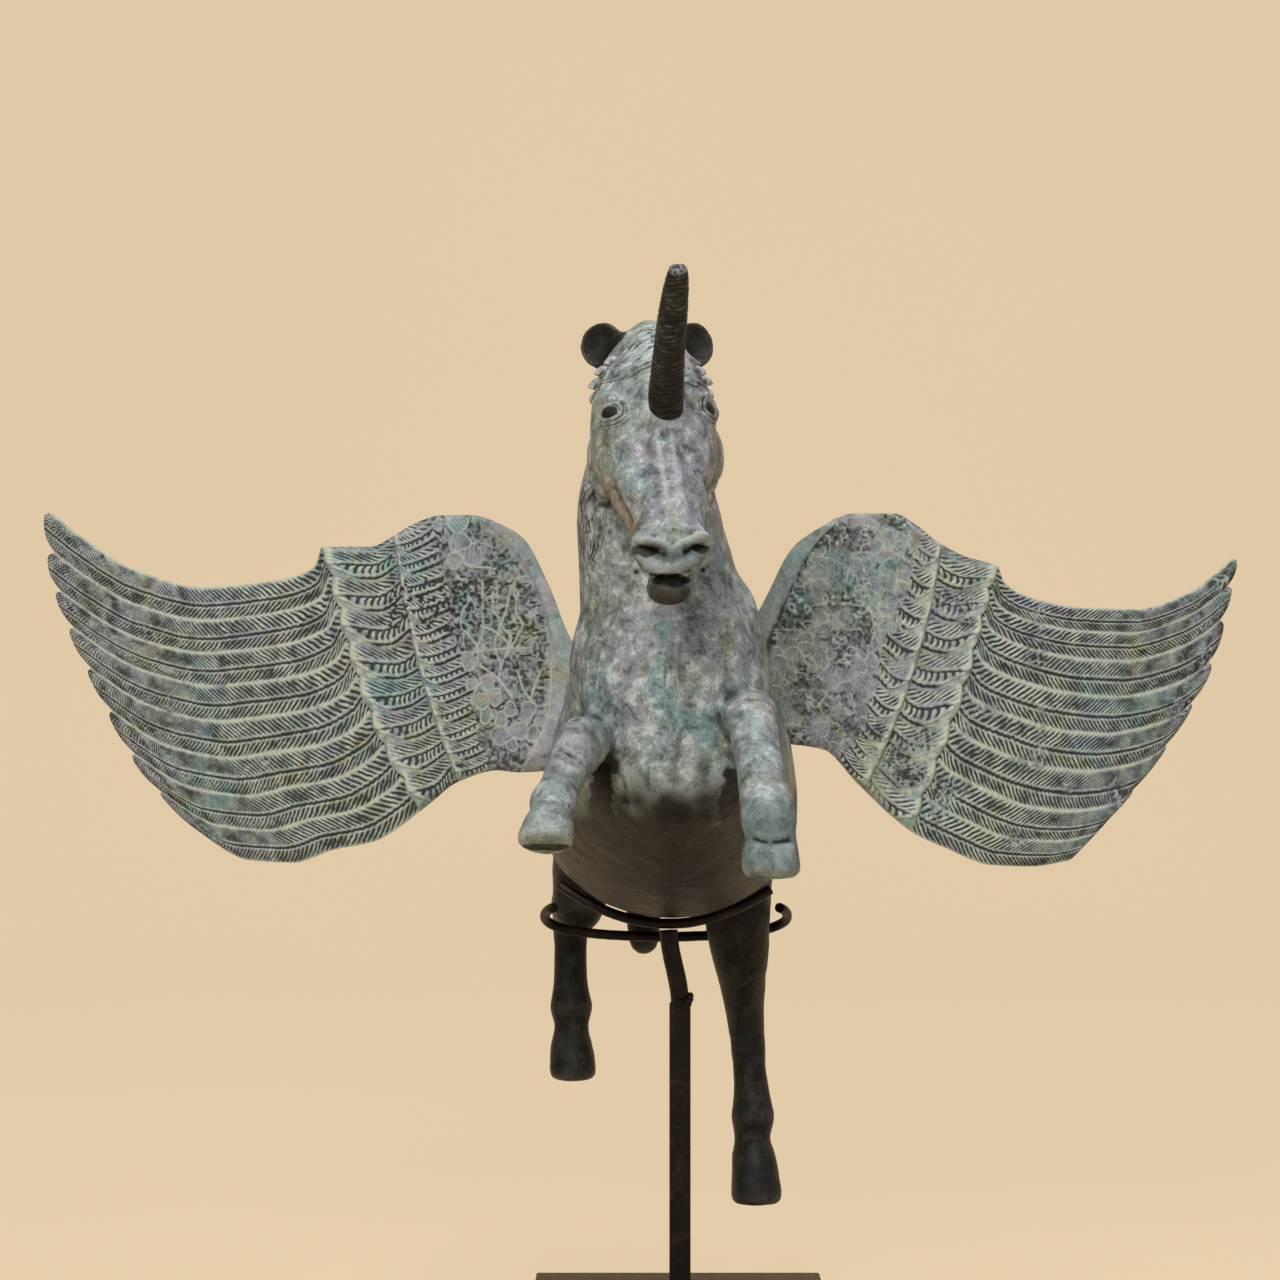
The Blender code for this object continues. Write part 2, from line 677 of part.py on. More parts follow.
def feather_relief(bands, shares, coverts):
    """Height of the feathers above the plain face, and the place across each long feather."""
    band, share = np.meshgrid(bands, shares, indexing="ij")
    long_across = (share * FEATHER_COUNT) % 1.0
    height = np.zeros_like(band)
    ridge = np.where(band >= FEATHER_BAND, 1 - np.abs(2 * long_across - 1) ** FEATHER_ROUNDING, 0.0)
    for border, count in coverts:
        across = (share * count) % 1.0
        edge = border - COVERT_SCALLOP * np.abs(2 * across - 1) ** 2
        inside = np.clip((edge - band) * COVERT_EDGE_SHARPNESS + 0.5, 0, 1)
        height += COVERT_STEP * inside * np.clip(1 - (edge - band) * COVERT_FALL, COVERT_FLOOR, 1)
        own = (inside > 0.5) & (band >= edge - 1)
        ridge = np.where(own, (1 - np.abs(2 * across - 1) ** FEATHER_ROUNDING) * COVERT_RIDGE_SHARE, ridge)
    height += ridge * FEATHER_RIDGE
    margin = np.minimum(share, 1 - share)
    return height * np.clip(margin / RELIEF_MARGIN, 0.15, 1), long_across, band


def wing(name, outline):
    """A cast wing: one plate with its long feathers, coverts and a rolled leading edge."""
    bands = np.concatenate([
        np.linspace(0, 1, ROLL_COLUMNS, endpoint=False),
        np.linspace(1, FEATHER_BAND, COVERT_COLUMNS, endpoint=False),
        np.linspace(FEATHER_BAND, TIP_BAND, FEATHER_COLUMNS),
    ])
    shares = np.linspace(0, 1, WING_ROWS)
    flat = wing_sheet(outline, bands, shares)
    height, across, band = feather_relief(bands, shares, outline["coverts"])
    at_tips = np.clip((band - TIP_BAND) / NOTCH_LENGTH + 1, 0, 1)
    inward = (flat[-2:-1] - flat[-1:]) * (FEATHER_COLUMNS - 1)
    flat = flat + inward * (NOTCH_DEPTH * np.abs(2 * across - 1) ** 3 * at_tips)[:, :, None]
    x, z = flat[:, :, 0], flat[:, :, 1]
    y = wing_depth(x, z)
    from_side = np.minimum(shares, 1 - shares)[None, :] / EDGE_SIDE_SHARE
    from_tip = (TIP_BAND - bands)[:, None] / EDGE_TIP_SHARE
    edge = np.sqrt(np.clip(np.minimum(from_side, from_tip), 0, 1))
    half = WING_EDGE_HALF + (WING_HALF_THICKNESS - WING_EDGE_HALF) * edge
    roll = np.clip((ROLL_END - bands) / ROLL_FALL, 0, 1)[:, None]
    half = half + ROLL_BULGE * np.sin(roll * math.pi / 2) * edge
    front = np.stack([x, y - half - height, z], axis=2)
    back = np.stack([x, y + half + height * BACK_RELIEF, z], axis=2)
    return shell(name, front, back, outline is LEFT_WING)


def shell(name, front, back, mirrored):
    """A closed shell between two grids of the same size, joined round their rim."""
    columns, rows = front.shape[:2]
    points = np.concatenate([front.reshape(-1, 3), back.reshape(-1, 3)])
    offset = columns * rows

    def at(column, row):
        return column * rows + row

    faces = []
    for column in range(columns - 1):
        for row in range(rows - 1):
            quad = (at(column, row), at(column + 1, row), at(column + 1, row + 1), at(column, row + 1))
            faces.append(quad)
            faces.append(tuple(offset + index for index in reversed(quad)))
    rim = [at(column, 0) for column in range(columns)]
    rim += [at(columns - 1, row) for row in range(1, rows)]
    rim += [at(column, rows - 1) for column in range(columns - 2, -1, -1)]
    rim += [at(0, row) for row in range(rows - 2, 0, -1)]
    for this, after in zip(rim, rim[1:] + rim[:1]):
        faces.append((after, this, this + offset, after + offset))
    if not mirrored:
        faces = [tuple(reversed(face)) for face in faces]
    obj = add_object(name, points, faces)
    return thinned(obj, WING_FACES)


def horn():
    """A tapered horn with rings, blunt at the tip and slightly bent."""
    base, tip = Vector(HORN_BASE) * UNIT, Vector(HORN_TIP) * UNIT
    axis = (tip - base).normalized()
    side = axis.cross(Vector((0, 0, 1))).normalized()
    lift = side.cross(axis)
    rings = HORN_RINGS * 2
    places = np.linspace(0, 1, rings + 1)
    shape = spline(HORN_TAPER, places)[:, 0]
    points = []
    for index, (place, size) in enumerate(zip(places, shape)):
        radius = HORN_RADIUS * size + (HORN_RIDGE if index % 2 else -HORN_RIDGE) * (place < 0.95)
        centre = base.lerp(tip, place) + side * HORN_BEND * math.sin(place * math.pi)
        for angle in np.linspace(0, 2 * math.pi, HORN_SIDES, endpoint=False):
            points.append(centre + (side * math.cos(angle) + lift * math.sin(angle)) * radius)
    faces = stack_faces(rings + 1, HORN_SIDES)
    return add_object("horn_form", points, [tuple(reversed(face)) for face in faces])


def ear(name, centre, turn_out):
    """A rounded cup with a rolled rim, open to the front."""
    facing = Vector((math.sin(turn_out), -math.cos(turn_out), EAR_TILT)).normalized()
    side = facing.cross(Vector((0, 0, 1))).normalized()
    lift = side.cross(facing)
    middle = Vector(centre) * UNIT
    points = []
    for reach, depth in EAR_PROFILE:
        for angle in np.linspace(0, 2 * math.pi, EAR_SIDES, endpoint=False):
            wide = side * math.cos(angle) * reach * EAR_HALF_WIDTH
            tall = lift * math.sin(angle) * reach * EAR_HALF_HEIGHT
            points.append(middle + wide + tall - facing * depth * EAR_CUP_DEPTH)
    return add_object(name, points, stack_faces(len(EAR_PROFILE), EAR_SIDES))


def outward(obj):
    build = bmesh.new()
    build.from_mesh(obj.data)
    bmesh.ops.recalc_face_normals(build, faces=build.faces)
    build.to_mesh(obj.data)
    build.free()
    return obj


def casting(material):
    """The whole figure as one closed body."""
    body = outward(figure_body())
    pieces = [
        wing("left_wing_form", LEFT_WING),
        wing("right_wing_form", RIGHT_WING),
        horn(),
        ear("left_ear_form", LEFT_EAR, LEFT_EAR_TURN),
        ear("right_ear_form", RIGHT_EAR, RIGHT_EAR_TURN),
    ]
    for piece in pieces:
        outward(piece)
        union = body.modifiers.new(piece.name, "BOOLEAN")
        union.operation = "UNION"
        union.solver = "EXACT"
        union.object = piece
        hide(piece)
    bpy.context.view_layer.update()
    baked(body)
    for piece in pieces:
        bpy.data.objects.remove(piece, do_unlink=True)
    body.data.materials.clear()
    body.data.materials.append(material)
    body.data.shade_smooth()
    body.data.set_sharp_from_angle(angle=math.radians(50))
    return body


def rod(name, points, diameter, material):
    """A round rod along the points, cut square at both ends."""
    curve = bpy.data.curves.new(name, "CURVE")
    curve.dimensions = "3D"
    curve.bevel_depth = diameter / 2
    curve.bevel_resolution = 3
    curve.use_fill_caps = True
    line = curve.splines.new("POLY")
    line.points.add(len(points) - 1)
    for knot, point in zip(line.points, points):
        knot.co = (*point, 1.0)
    curve.materials.append(material)
    obj = bpy.data.objects.new(name, curve)
    bpy.context.scene.collection.objects.link(obj)
    return obj


def clearance(tree, points):
    """The least distance from the points to the casting."""
    return min(tree.find_nearest(point)[3] for point in points)


def raised(tree, points, distance, lowest):
    """The points lifted from the lowest height until they come within the distance of the casting."""

    def lifted(height):
        return [Vector((point.x, point.y, point.z + height)) for point in points]

    height = lowest
    while clearance(tree, lifted(height + LIFT_STEP)) > distance:
        height += LIFT_STEP
    free, near = height, height + LIFT_STEP
    for _ in range(12):
        middle = (free + near) / 2
        if clearance(tree, lifted(middle)) > distance:
            free = middle
        else:
            near = middle
    return lifted(free)


def front_rod_route(tree):
    """A hanging arc square to the body, raised until it carries the belly."""
    points = []
    for reach in np.linspace(-FRONT_ROD_LEFT, FRONT_ROD_RIGHT, ROD_POINTS):
        bend = (reach / FRONT_ROD_LEFT) ** 2
        place = Vector((FRONT_ROD_LOW_X + reach, FRONT_ROD_SWING * bend, FRONT_ROD_RISE * bend))
        points.append(place * UNIT)
    return raised(tree, points, ROD_DIAMETER / 2 + SEAT_GAP, CRADLE_LEVEL * UNIT)


def rear_rod_route(tree):
    """A bow behind the right hind leg and under the left thigh, with both ends curled up."""
    half, spring = REAR_ROD_HALF, REAR_ROD_SPRING
    arm = (
        (0.00, 0.0, 0.0, 0.0),
        (0.40, half * 0.45, 0.0, spring * 0.3),
        (0.62, half * 0.78, -CURL_REACH * 0.08, spring),
        (0.74, half * 0.94, -CURL_REACH * 0.24, spring + CURL_RISE * 0.25),
        (0.84, half, -CURL_REACH * 0.46, spring + CURL_RISE * 0.55),
        (0.92, half - CURL_TURN * 0.35, -CURL_REACH * 0.72, spring + CURL_RISE * 0.85),
        (1.00, half - CURL_TURN, -CURL_REACH, spring + CURL_RISE),
    )
    points = []
    for step in np.linspace(-1, 1, ROD_POINTS):
        across, forward, rise = spline(arm, np.array([abs(step)]))[0]
        x = REAR_ROD_MIDDLE_X + math.copysign(across, step)
        points.append(Vector((x, REAR_ROD_Y + forward, rise)) * UNIT)
    return raised(tree, points, ROD_DIAMETER / 2 + SEAT_GAP, CRADLE_LEVEL * UNIT)


def block(name, width, depth, bottom, height, edge, material):
    """An upright block on the middle line, with its edges eased."""
    mesh = bpy.data.meshes.new(name)
    build = bmesh.new()
    bmesh.ops.create_cube(build, size=1.0)
    for vertex in build.verts:
        vertex.co = (vertex.co.x * width, vertex.co.y * depth, bottom + (vertex.co.z + 0.5) * height)
    build.to_mesh(mesh)
    build.free()
    mesh.materials.append(material)
    obj = bpy.data.objects.new(name, mesh)
    bpy.context.scene.collection.objects.link(obj)
    eased = obj.modifiers.new("eased", "BEVEL")
    eased.width = edge
    eased.segments = 2
    return obj


def neck_route(foot, top):
    """A short rod with a slow S bend, upright at both ends."""
    points = []
    for share in np.linspace(0, 1, NECK_POINTS):
        lean = share * share * (3 - 2 * share)
        points.append(Vector((foot.x + (top.x - foot.x) * lean, foot.y, foot.z + (top.z - foot.z) * share)))
    return points


def build_stand(figure, iron, plate_iron):
    """The stand, and the figure seated in its cradle: the post and neck set the height of both."""
    tree = BVHTree.FromObject(figure, bpy.context.evaluated_depsgraph_get())
    rod_radius = ROD_DIAMETER / 2
    front = front_rod_route(tree)
    rear = rear_rod_route(tree)
    post_foot = PLATE_THICKNESS + SEAT_GAP
    neck_foot = Vector((0.0, 0.0, post_foot + POST_HEIGHT + SEAT_GAP))
    neck_top = Vector((FRONT_ROD_LOW_X * UNIT, 0.0, neck_foot.z + NECK_HEIGHT))
    front_low = min(point.z for point in front)
    lift = Vector((0.0, 0.0, neck_top.z + SEAT_GAP + rod_radius - front_low))
    figure.data.transform(Matrix.Translation(lift))
    front = [point + lift for point in front]
    rear = [point + lift for point in rear]
    rod("front_cradle_rod", front, ROD_DIAMETER, iron)
    rod("rear_cradle_rod", rear, ROD_DIAMETER, iron)
    block("base_plate", PLATE_WIDTH, PLATE_DEPTH, 0.0, PLATE_THICKNESS, PLATE_EDGE, plate_iron)
    block("stand_post", POST_SIDE, POST_SIDE, post_foot, POST_HEIGHT, POST_EDGE, iron)
    rod("neck_rod", neck_route(neck_foot, neck_top), NECK_DIAMETER, iron)
    rear_low = rear[ROD_POINTS // 2]
    tie_start = Vector((neck_top.x, NECK_DIAMETER / 2 + SEAT_GAP, rear_low.z))
    tie_end = Vector((neck_top.x, rear_low.y - rod_radius - SEAT_GAP, rear_low.z))
    rod("cradle_tie_rod", (tie_start, tie_end), ROD_DIAMETER, iron)


def main():
    clear_scene()
    bronze = finish_material("bronze_patina", (0.25, 0.28, 0.24), 0.55, 0.6)
    iron = finish_material("black_iron", (0.022, 0.014, 0.009), 0.5, 0.7)
    plate_iron = finish_material("plate_iron", (0.075, 0.050, 0.030), 0.6, 0.5)
    figure = casting(bronze)
    build_stand(figure, iron, plate_iron)


main()
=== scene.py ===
"""Looks of the leaping winged unicorn: patinated skin, feathered wings, horn, eyes, hair and iron stand.

The solids' own frame, in metres. Stations and marks of the figure are in millimetres and scaled by MM.
"""

import math

import bmesh
import bpy
import numpy as np
from bpy.props import FloatProperty, FloatVectorProperty, IntProperty, PointerProperty
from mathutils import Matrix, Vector
from mathutils.bvhtree import BVHTree
from mathutils.kdtree import KDTree


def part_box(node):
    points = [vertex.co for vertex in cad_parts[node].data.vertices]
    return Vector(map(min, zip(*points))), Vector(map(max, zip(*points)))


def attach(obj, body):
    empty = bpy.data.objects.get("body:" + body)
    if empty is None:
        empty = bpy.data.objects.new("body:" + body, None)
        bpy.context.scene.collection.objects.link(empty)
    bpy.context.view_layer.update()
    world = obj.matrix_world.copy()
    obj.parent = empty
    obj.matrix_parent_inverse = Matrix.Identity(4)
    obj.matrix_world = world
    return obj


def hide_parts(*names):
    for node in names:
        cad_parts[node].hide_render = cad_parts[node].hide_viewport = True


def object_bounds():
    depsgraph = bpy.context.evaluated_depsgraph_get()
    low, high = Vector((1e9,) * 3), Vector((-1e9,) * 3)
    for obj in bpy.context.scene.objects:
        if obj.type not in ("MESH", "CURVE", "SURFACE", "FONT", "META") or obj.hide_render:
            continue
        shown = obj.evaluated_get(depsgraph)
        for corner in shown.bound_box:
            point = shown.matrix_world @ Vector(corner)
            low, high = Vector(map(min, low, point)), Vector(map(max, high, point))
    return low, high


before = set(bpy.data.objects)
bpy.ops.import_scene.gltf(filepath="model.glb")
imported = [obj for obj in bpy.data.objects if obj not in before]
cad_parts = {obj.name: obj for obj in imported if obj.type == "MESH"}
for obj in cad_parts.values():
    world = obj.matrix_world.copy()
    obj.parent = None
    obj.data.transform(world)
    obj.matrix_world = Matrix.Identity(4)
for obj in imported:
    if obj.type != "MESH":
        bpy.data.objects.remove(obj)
SOLID_BOX = [list(corner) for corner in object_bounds()]

bl_info = {
    "name": "Winged unicorn bronze",
    "version": (1, 0, 0),
    "blender": (4, 5, 0),
    "location": "View3D > Sidebar > Unicorn",
    "description": "Builds the patinated casting, its hair and horn, and the finish of its iron stand",
    "category": "Object",
}

FIGURE = "unicorn_casting"
BODY = "root"
MM = 0.001

# Camera of the photograph.
EYE_POINT = (-0.0218, -1.65, 0.374)
EYE_LENS = 85.0
SENSOR_WIDTH = 36

# Lamps: name, place, side in metres, power in watts and colour.
LAMPS = (
    ("key", (-0.6, -2.0, 1.55), 0.9, 54, (1.0, 0.99, 0.97)),
    ("fill", (1.7, -1.5, 1.0), 1.2, 9, (0.92, 0.96, 1.0)),
    ("top", (0.2, -0.1, 1.9), 0.8, 20, (0.97, 0.99, 1.0)),
)
LAMP_AIM = (-0.02, -0.08, 0.36)
WORLD_COLOUR = (0.93, 0.93, 0.95, 1)
WORLD_STRENGTH = 0.13

# Backdrop: a floor from front to back, a curve, and a wall.
FLOOR_FRONT = -4.0
FLOOR_BACK = 1.6
FLOOR_HALF_WIDTH = 5.0
CURVE_RADIUS = 1.2
CURVE_STEPS = 12
WALL_TOP = 5.0

# Rows of the barrel: y, x, height of the widest line, half width, rise above it, drop below it.
BARREL = (
    (-161, -5, 306, 5, 5, 5),
    (-157, -5, 306, 20, 26, 13),
    (-147, -5, 307, 34, 52, 23),
    (-128, -6, 307, 46, 74, 34),
    (-100, -6, 303, 56, 88, 45),
    (-62, -5, 293, 63, 100, 54),
    (-22, -5, 282, 68, 106, 57),
    (20, -5, 271, 69, 104, 48),
    (60, -6, 265, 68, 98, 43),
    (100, -7, 262, 66, 90, 42),
    (140, -8, 258, 61, 80, 42),
    (172, -9, 254, 50, 64, 42),
    (192, -10, 252, 33, 42, 34),
    (202, -10, 252, 8, 10, 10),
)

# Rows of a limb: x, y, z, half width from side to side, half depth from front to back.
NECK = (
    (-6, -48, 308, 56, 67),
    (-7, -76, 340, 54, 76),
    (-9, -93, 380, 45, 61),
    (-14, -101, 412, 39.5, 50),
    (-18, -106, 445, 35.5, 42),
    (-17, -108, 478, 28, 35),
    (-16, -108, 502, 24, 26),
    (-16, -108, 518, 9, 9),
)
HEAD = (
    (-17, -100, 528, 8, 7),
    (-17, -106, 524, 15, 14),
    (-17, -118, 513, 22, 23),
    (-17, -130, 500, 27, 30),
    (-16, -143, 487, 30.5, 33),
    (-15, -155, 472, 31.5, 33),
    (-13.5, -167, 457, 29, 28),
    (-11, -179, 443, 23, 22),
    (-9, -190, 430, 18.5, 18),
    (-7.5, -201, 418, 17.5, 16),
    (-6.5, -209, 409, 14, 12),
    (-6.2, -213, 404, 6, 5),
)
TAIL = (
    (-10, 178, 318, 13, 13),
    (-11, 196, 326, 12, 12),
    (-13, 212, 316, 12, 11),
    (-16, 219, 290, 12.5, 11),
    (-18, 218, 255, 12.5, 11),
    (-20, 213, 222, 11.5, 10),
    (-19.5, 208, 197, 10.6, 9),
    (-19.5, 205, 184.5, 8, 7),
    (-19.5, 204.5, 181, 3, 3),
)
LEFT_FORELEG = (
    (-42, -78, 308, 20, 26),
    (-46, -112, 314, 17, 20),
    (-49, -142, 320, 14, 15),
    (-50, -168, 324, 12.8, 13),
    (-53, -184, 319, 11.4, 12),
    (-57.5, -197, 309.5, 10.4, 11),
    (-61, -210, 301, 10.4, 11),
    (-63, -219, 296.5, 11.8, 12.2),
    (-63.6, -228, 291.5, 10.2, 10.5),
    (-64, -235, 288.5, 10.8, 10),
    (-64.5, -237, 287, 8, 8),
)
LEFT_FORE_HOOF = (
    (-63.8, -233, 291.5, 9, 9),
    (-64.3, -235.5, 289.2, 11.6, 10.5),
    (-65.2, -240, 284, 12.8, 12),
    (-66, -243.5, 279.5, 14, 13),
    (-66, -244, 278.6, 12, 11),
)
RIGHT_FORELEG = (
    (32, -72, 318, 20, 26),
    (33, -104, 328, 17.5, 20),
    (33, -138, 335, 14.5, 15),
    (32, -162, 336, 12.5, 12.5),
    (33.5, -178, 330, 12.2, 12),
    (35, -193, 319, 11.8, 11),
    (36.5, -206, 307, 12, 11.2),
    (38, -215, 297, 13, 13),
    (39, -219, 289, 13.8, 12.8),
    (39.8, -220, 283, 12.6, 11.2),
    (39.8, -220, 279, 10, 9),
)
RIGHT_FORE_HOOF = (
    (39.4, -219, 281, 10, 9),
    (39.6, -220, 278.8, 13.2, 12),
    (40, -222, 271, 14, 13.5),
    (40.2, -224, 264.5, 14, 14.5),
    (40.2, -224.5, 262, 12, 12.5),
)
LEFT_THIGH = (
    (-40, 160, 286, 24, 34),
    (-48, 134, 262, 22, 34),
    (-55, 108, 240, 18, 27),
    (-57, 94, 223.5, 15.5, 18.5),
    (-59, 116, 219, 15, 16),
    (-61, 142, 217, 13, 14),
    (-63, 162, 212, 11.5, 13),
    (-64, 172, 206, 11, 12.5),
    (-63.8, 173, 193, 10.2, 11),
    (-63.5, 171, 172, 10.4, 10.5),
    (-63.3, 169.5, 160, 12, 12),
    (-63, 168.5, 152.5, 13.2, 13.2),
    (-63, 167, 142, 10.4, 10.5),
    (-63, 165.5, 134, 12, 12),
    (-63, 165, 131, 9, 9),
)
LEFT_HIND_HOOF = (
    (-63, 166, 137, 9, 9),
    (-63, 165.5, 134, 12.4, 12.6),
    (-62.6, 163, 124, 13.8, 14.6),
    (-62, 161, 113.5, 14.2, 16),
    (-62, 161, 111, 12.5, 14),
)
RIGHT_THIGH = (
    (26, 140, 292, 26, 36),
    (30, 104, 262, 25, 33),
    (32, 72, 238, 22, 27),
    (33, 56, 217, 18.8, 20),
    (34.5, 58, 200, 17, 17.5),
    (36.5, 66, 180, 13.2, 15.5),
    (37.8, 71, 164, 11.4, 14.5),
    (39, 70, 150, 10.2, 12),
    (40.5, 66, 130, 9.8, 10.5),
    (41.8, 62, 113, 11, 11.5),
    (42.2, 60.5, 104.5, 12.8, 13),
    (41.6, 58, 92, 10.2, 10.5),
    (42, 56, 86, 12, 12),
    (42, 55.5, 83, 9, 9),
)
RIGHT_HIND_HOOF = (
    (41.8, 57, 89, 9, 9),
    (42, 56, 86.5, 12.2, 12.6),
    (43, 52.5, 74, 13.6, 15),
    (43.6, 49.5, 60, 14.8, 17),
    (43.6, 49.3, 57, 13, 15),
)
LIMBS = (
    NECK, HEAD, TAIL, LEFT_FORELEG, LEFT_FORE_HOOF, RIGHT_FORELEG, RIGHT_FORE_HOOF,
    LEFT_THIGH, LEFT_HIND_HOOF, RIGHT_THIGH, RIGHT_HIND_HOOF,
)

# Rounded masses: centre x, y, z and radii.
MASSES = (
    (-34, -104, 344, 25, 36, 66),
    (20, -102, 346, 25, 36, 66),
    (-6, -128, 351, 47, 30, 55),
    (-34, 128, 286, 32, 52, 50),
    (20, 126, 288, 32, 52, 50),
    (-35, -141, 464, 14, 17, 21),
    (6.5, -141, 464, 14, 17, 21),
    (-16, -205, 419, 11, 10, 9),
    (3, -205, 420, 10, 10, 9),
    (-8, -202, 398, 11.5, 10.5, 8),
    (-17, -114, 526, 11, 14, 11),
    (-36, -150, 485, 9, 7, 6.5),
    (11, -146, 487, 7.5, 7, 6.5),
)

# Mane locks down the crest.
MANE_LOCKS = 7
MANE_TOP = (-24, -84, 518)
MANE_FOOT = (-40, -34, 392)
LOCK_LENGTH = 58
LOCK_RADIUS = 6.5
LOCK_WAVE = 4.0
LOCK_STATIONS = 7
LOCK_SPREAD_TOP = 14
LOCK_SPREAD_FOOT = 22
LOCK_SLANT = 18

# Tool marks of the front view: x and z of the path, radius and depth. A ridge has a negative depth.
FRONT_MARKS = (
    (((-9.9, 472.6), (-8.4, 460.9), (-6.4, 448.4), (-5.1, 440.1)), 2.0, 0.4),
    (((-13.2, 474.7), (-12.4, 463.6), (-10.0, 449.8), (-8.4, 438.8), (-9.2, 430.5)), 1.9, -0.42),
    (((-7.0, 474.0), (-5.3, 463.6), (-2.0, 452.6), (-0.9, 444.3)), 1.9, -0.38),
    (((-19.1, 466.7), (-17.5, 450.1), (-15.5, 434.8)), 6.5, 1.6),
    (((1.6, 466.7), (4.1, 450.1), (4.4, 434.8)), 6.5, 1.6),
    (
        ((-47.7, 453.6), (-46.6, 446.6), (-43.2, 441.9), (-39.3, 440.6), (-37.3, 445.2), (-33.7, 453.6)),
        3.0, 1.3,
    ),
    (((-35.1, 445.9), (-30.9, 437.6), (-26.8, 428.6)), 4.6, 2.6),
    (((18.1, 453.6), (16.7, 446.6), (14.8, 442.4), (13.1, 446.6)), 2.8, 1.1),
    (((11.3, 450.1), (10.7, 439.0), (11.3, 430.7)), 4.0, 2.0),
    (((-44.5, 491.5), (-41.5, 493.7), (-35.9, 494.6), (-30.9, 492.0), (-28.1, 488.1)), 2.6, -1.1),
    (((6.9, 488.7), (8.0, 492.6), (10.8, 495.4), (14.4, 492.6)), 2.4, -1.1),
    (((-26.8, 499.3), (-25.4, 490.9), (-24.4, 481.1)), 5.5, 1.2),
    (((3.4, 499.3), (4.3, 489.5), (4.6, 481.1)), 5.0, 1.0),
    (((-7.9, 369.1), (-7.5, 349.3), (-7.0, 329.5)), 3.5, 0.7),
    (((-36.8, 311.5), (-33.8, 302.5), (-30.8, 292.1)), 6.0, 4.0),
    (((13.2, 311.0), (12.2, 301.5), (11.2, 290.6)), 6.0, 2.4),
    (((-46.9, 363.9), (-41.9, 343.8), (-43.9, 329.7)), 6.0, 0.8),
    (((26.0, 369.0), (22.5, 348.9), (26.0, 336.3)), 6.0, 0.8),
)
MUZZLE_MARKS = (
    (((-25.2, 417.6), (-20.0, 416.8), (-15.5, 416.0), (-12.0, 414.8)), 3.0, 6.5),
    (((2.0, 416.6), (6.5, 417.6), (11.0, 418.4)), 2.8, 6.0),
    (((-16.0, 412.6), (-8.0, 411.6), (0.5, 413.0)), 3.6, 1.6),
    (((-24.0, 420.6), (-19.0, 421.2), (-14.5, 420.6), (-11.0, 417.6), (-8.4, 415.6)), 1.7, -1.2),
    (((-8.4, 415.6), (-4.4, 418.4), (1.9, 421.8), (7.0, 424.0), (10.5, 423.4)), 1.7, -1.2),
    (((5.1, 424.0), (9.5, 423.2)), 1.8, -1.4),
    (((-10.6, 420.1), (-10.0, 419.7)), 1.9, -1.4),
    (((-7.0, 412.5), (-6.8, 412.0)), 0.8, 1.6),
    (((-24.0, 411.6), (-17.1, 408.9), (-7.6, 409.2), (1.9, 411.4), (10.8, 414.4)), 2.4, -1.0),
    (((-24.0, 407.6), (-18.3, 404.9), (-10.7, 404.1), (1.9, 406.2), (10.5, 409.2)), 1.4, 2.2),
    (((-15.5, 403.2), (-6.5, 401.9), (2.2, 402.9)), 2.0, 4.4),
)
# Tool marks in space: x, y and z of the path, radius and depth.
LEG_MARKS = (
    (((-62, -196, 322), (-54, -203, 319), (-45, -198, 318)), 1.4, 1.1),
    (((-64, -203, 316), (-55, -210, 312), (-45, -204, 312)), 2.4, -0.9),
    (((-58, -170, 334), (-50, -178, 338)), 2.0, 1.0),
    (((24, -196, 330), (33, -203, 326), (42, -199, 324)), 2.2, 0.8),
    (((30, -150, 345), (28, -172, 338), (27, -190, 322)), 2.6, 0.8),
    (((-66, -224, 304), (-73, -226, 296), (-62, -231, 294), (-54, -229, 296)), 1.2, 0.8),
    (((-67, -233, 295), (-74, -238, 289), (-64, -243, 287), (-54, -240, 288)), 1.2, -0.7),
    (((26, -228, 281.5), (39, -234, 279.5), (53, -228, 280.5)), 1.8, 2.2),
    (((40, -236, 277), (40.5, -238, 266)), 1.3, 0.8),
    (((24, -168, 342), (33, -174, 345), (42, -168, 341)), 3.0, 0.7),
    (((-60, -180, 329), (-50, -188, 331), (-42, -182, 328)), 3.0, 0.7),
)

# Wing outlines: band number along the wing from root 0 to tips 5, then x and z.
LEFT_WING = {
    "top": (
        (0, -104, 440), (1, -114, 442), (2, -131, 442), (2.5, -146, 437), (3, -156, 431),
        (3.5, -170, 425), (4, -196, 425), (4.06, -200, 414), (4.2, -220, 407),
        (4.45, -261, 403), (4.7, -304, 414), (4.87, -332, 431), (5, -356, 449),
    ),
    "bottom": (
        (0, -45, 306), (1, -86, 303), (2, -99, 304), (3, -119, 298), (4, -140, 282),
        (4.2, -164, 266), (4.4, -187, 261), (4.6, -209, 254), (4.8, -233, 255), (5, -270, 275),
    ),
    "borders": (
        ((0.2, -86, 430), (0.4, -71, 403), (0.55, -61, 378), (0.7, -45, 352), (0.85, -42, 328)),
        ((0.2, -97, 427), (0.4, -79, 404), (0.6, -70, 372), (0.8, -71, 338)),
        ((0.25, -124, 402), (0.5, -114, 366), (0.75, -106, 336)),
        ((0.25, -150, 397), (0.5, -141, 359), (0.75, -131, 328)),
        ((0.25, -187, 390), (0.5, -176, 353), (0.75, -161, 316)),
        ((0.2, -351, 413), (0.4, -339, 380), (0.6, -320, 343), (0.8, -298, 306)),
    ),
}
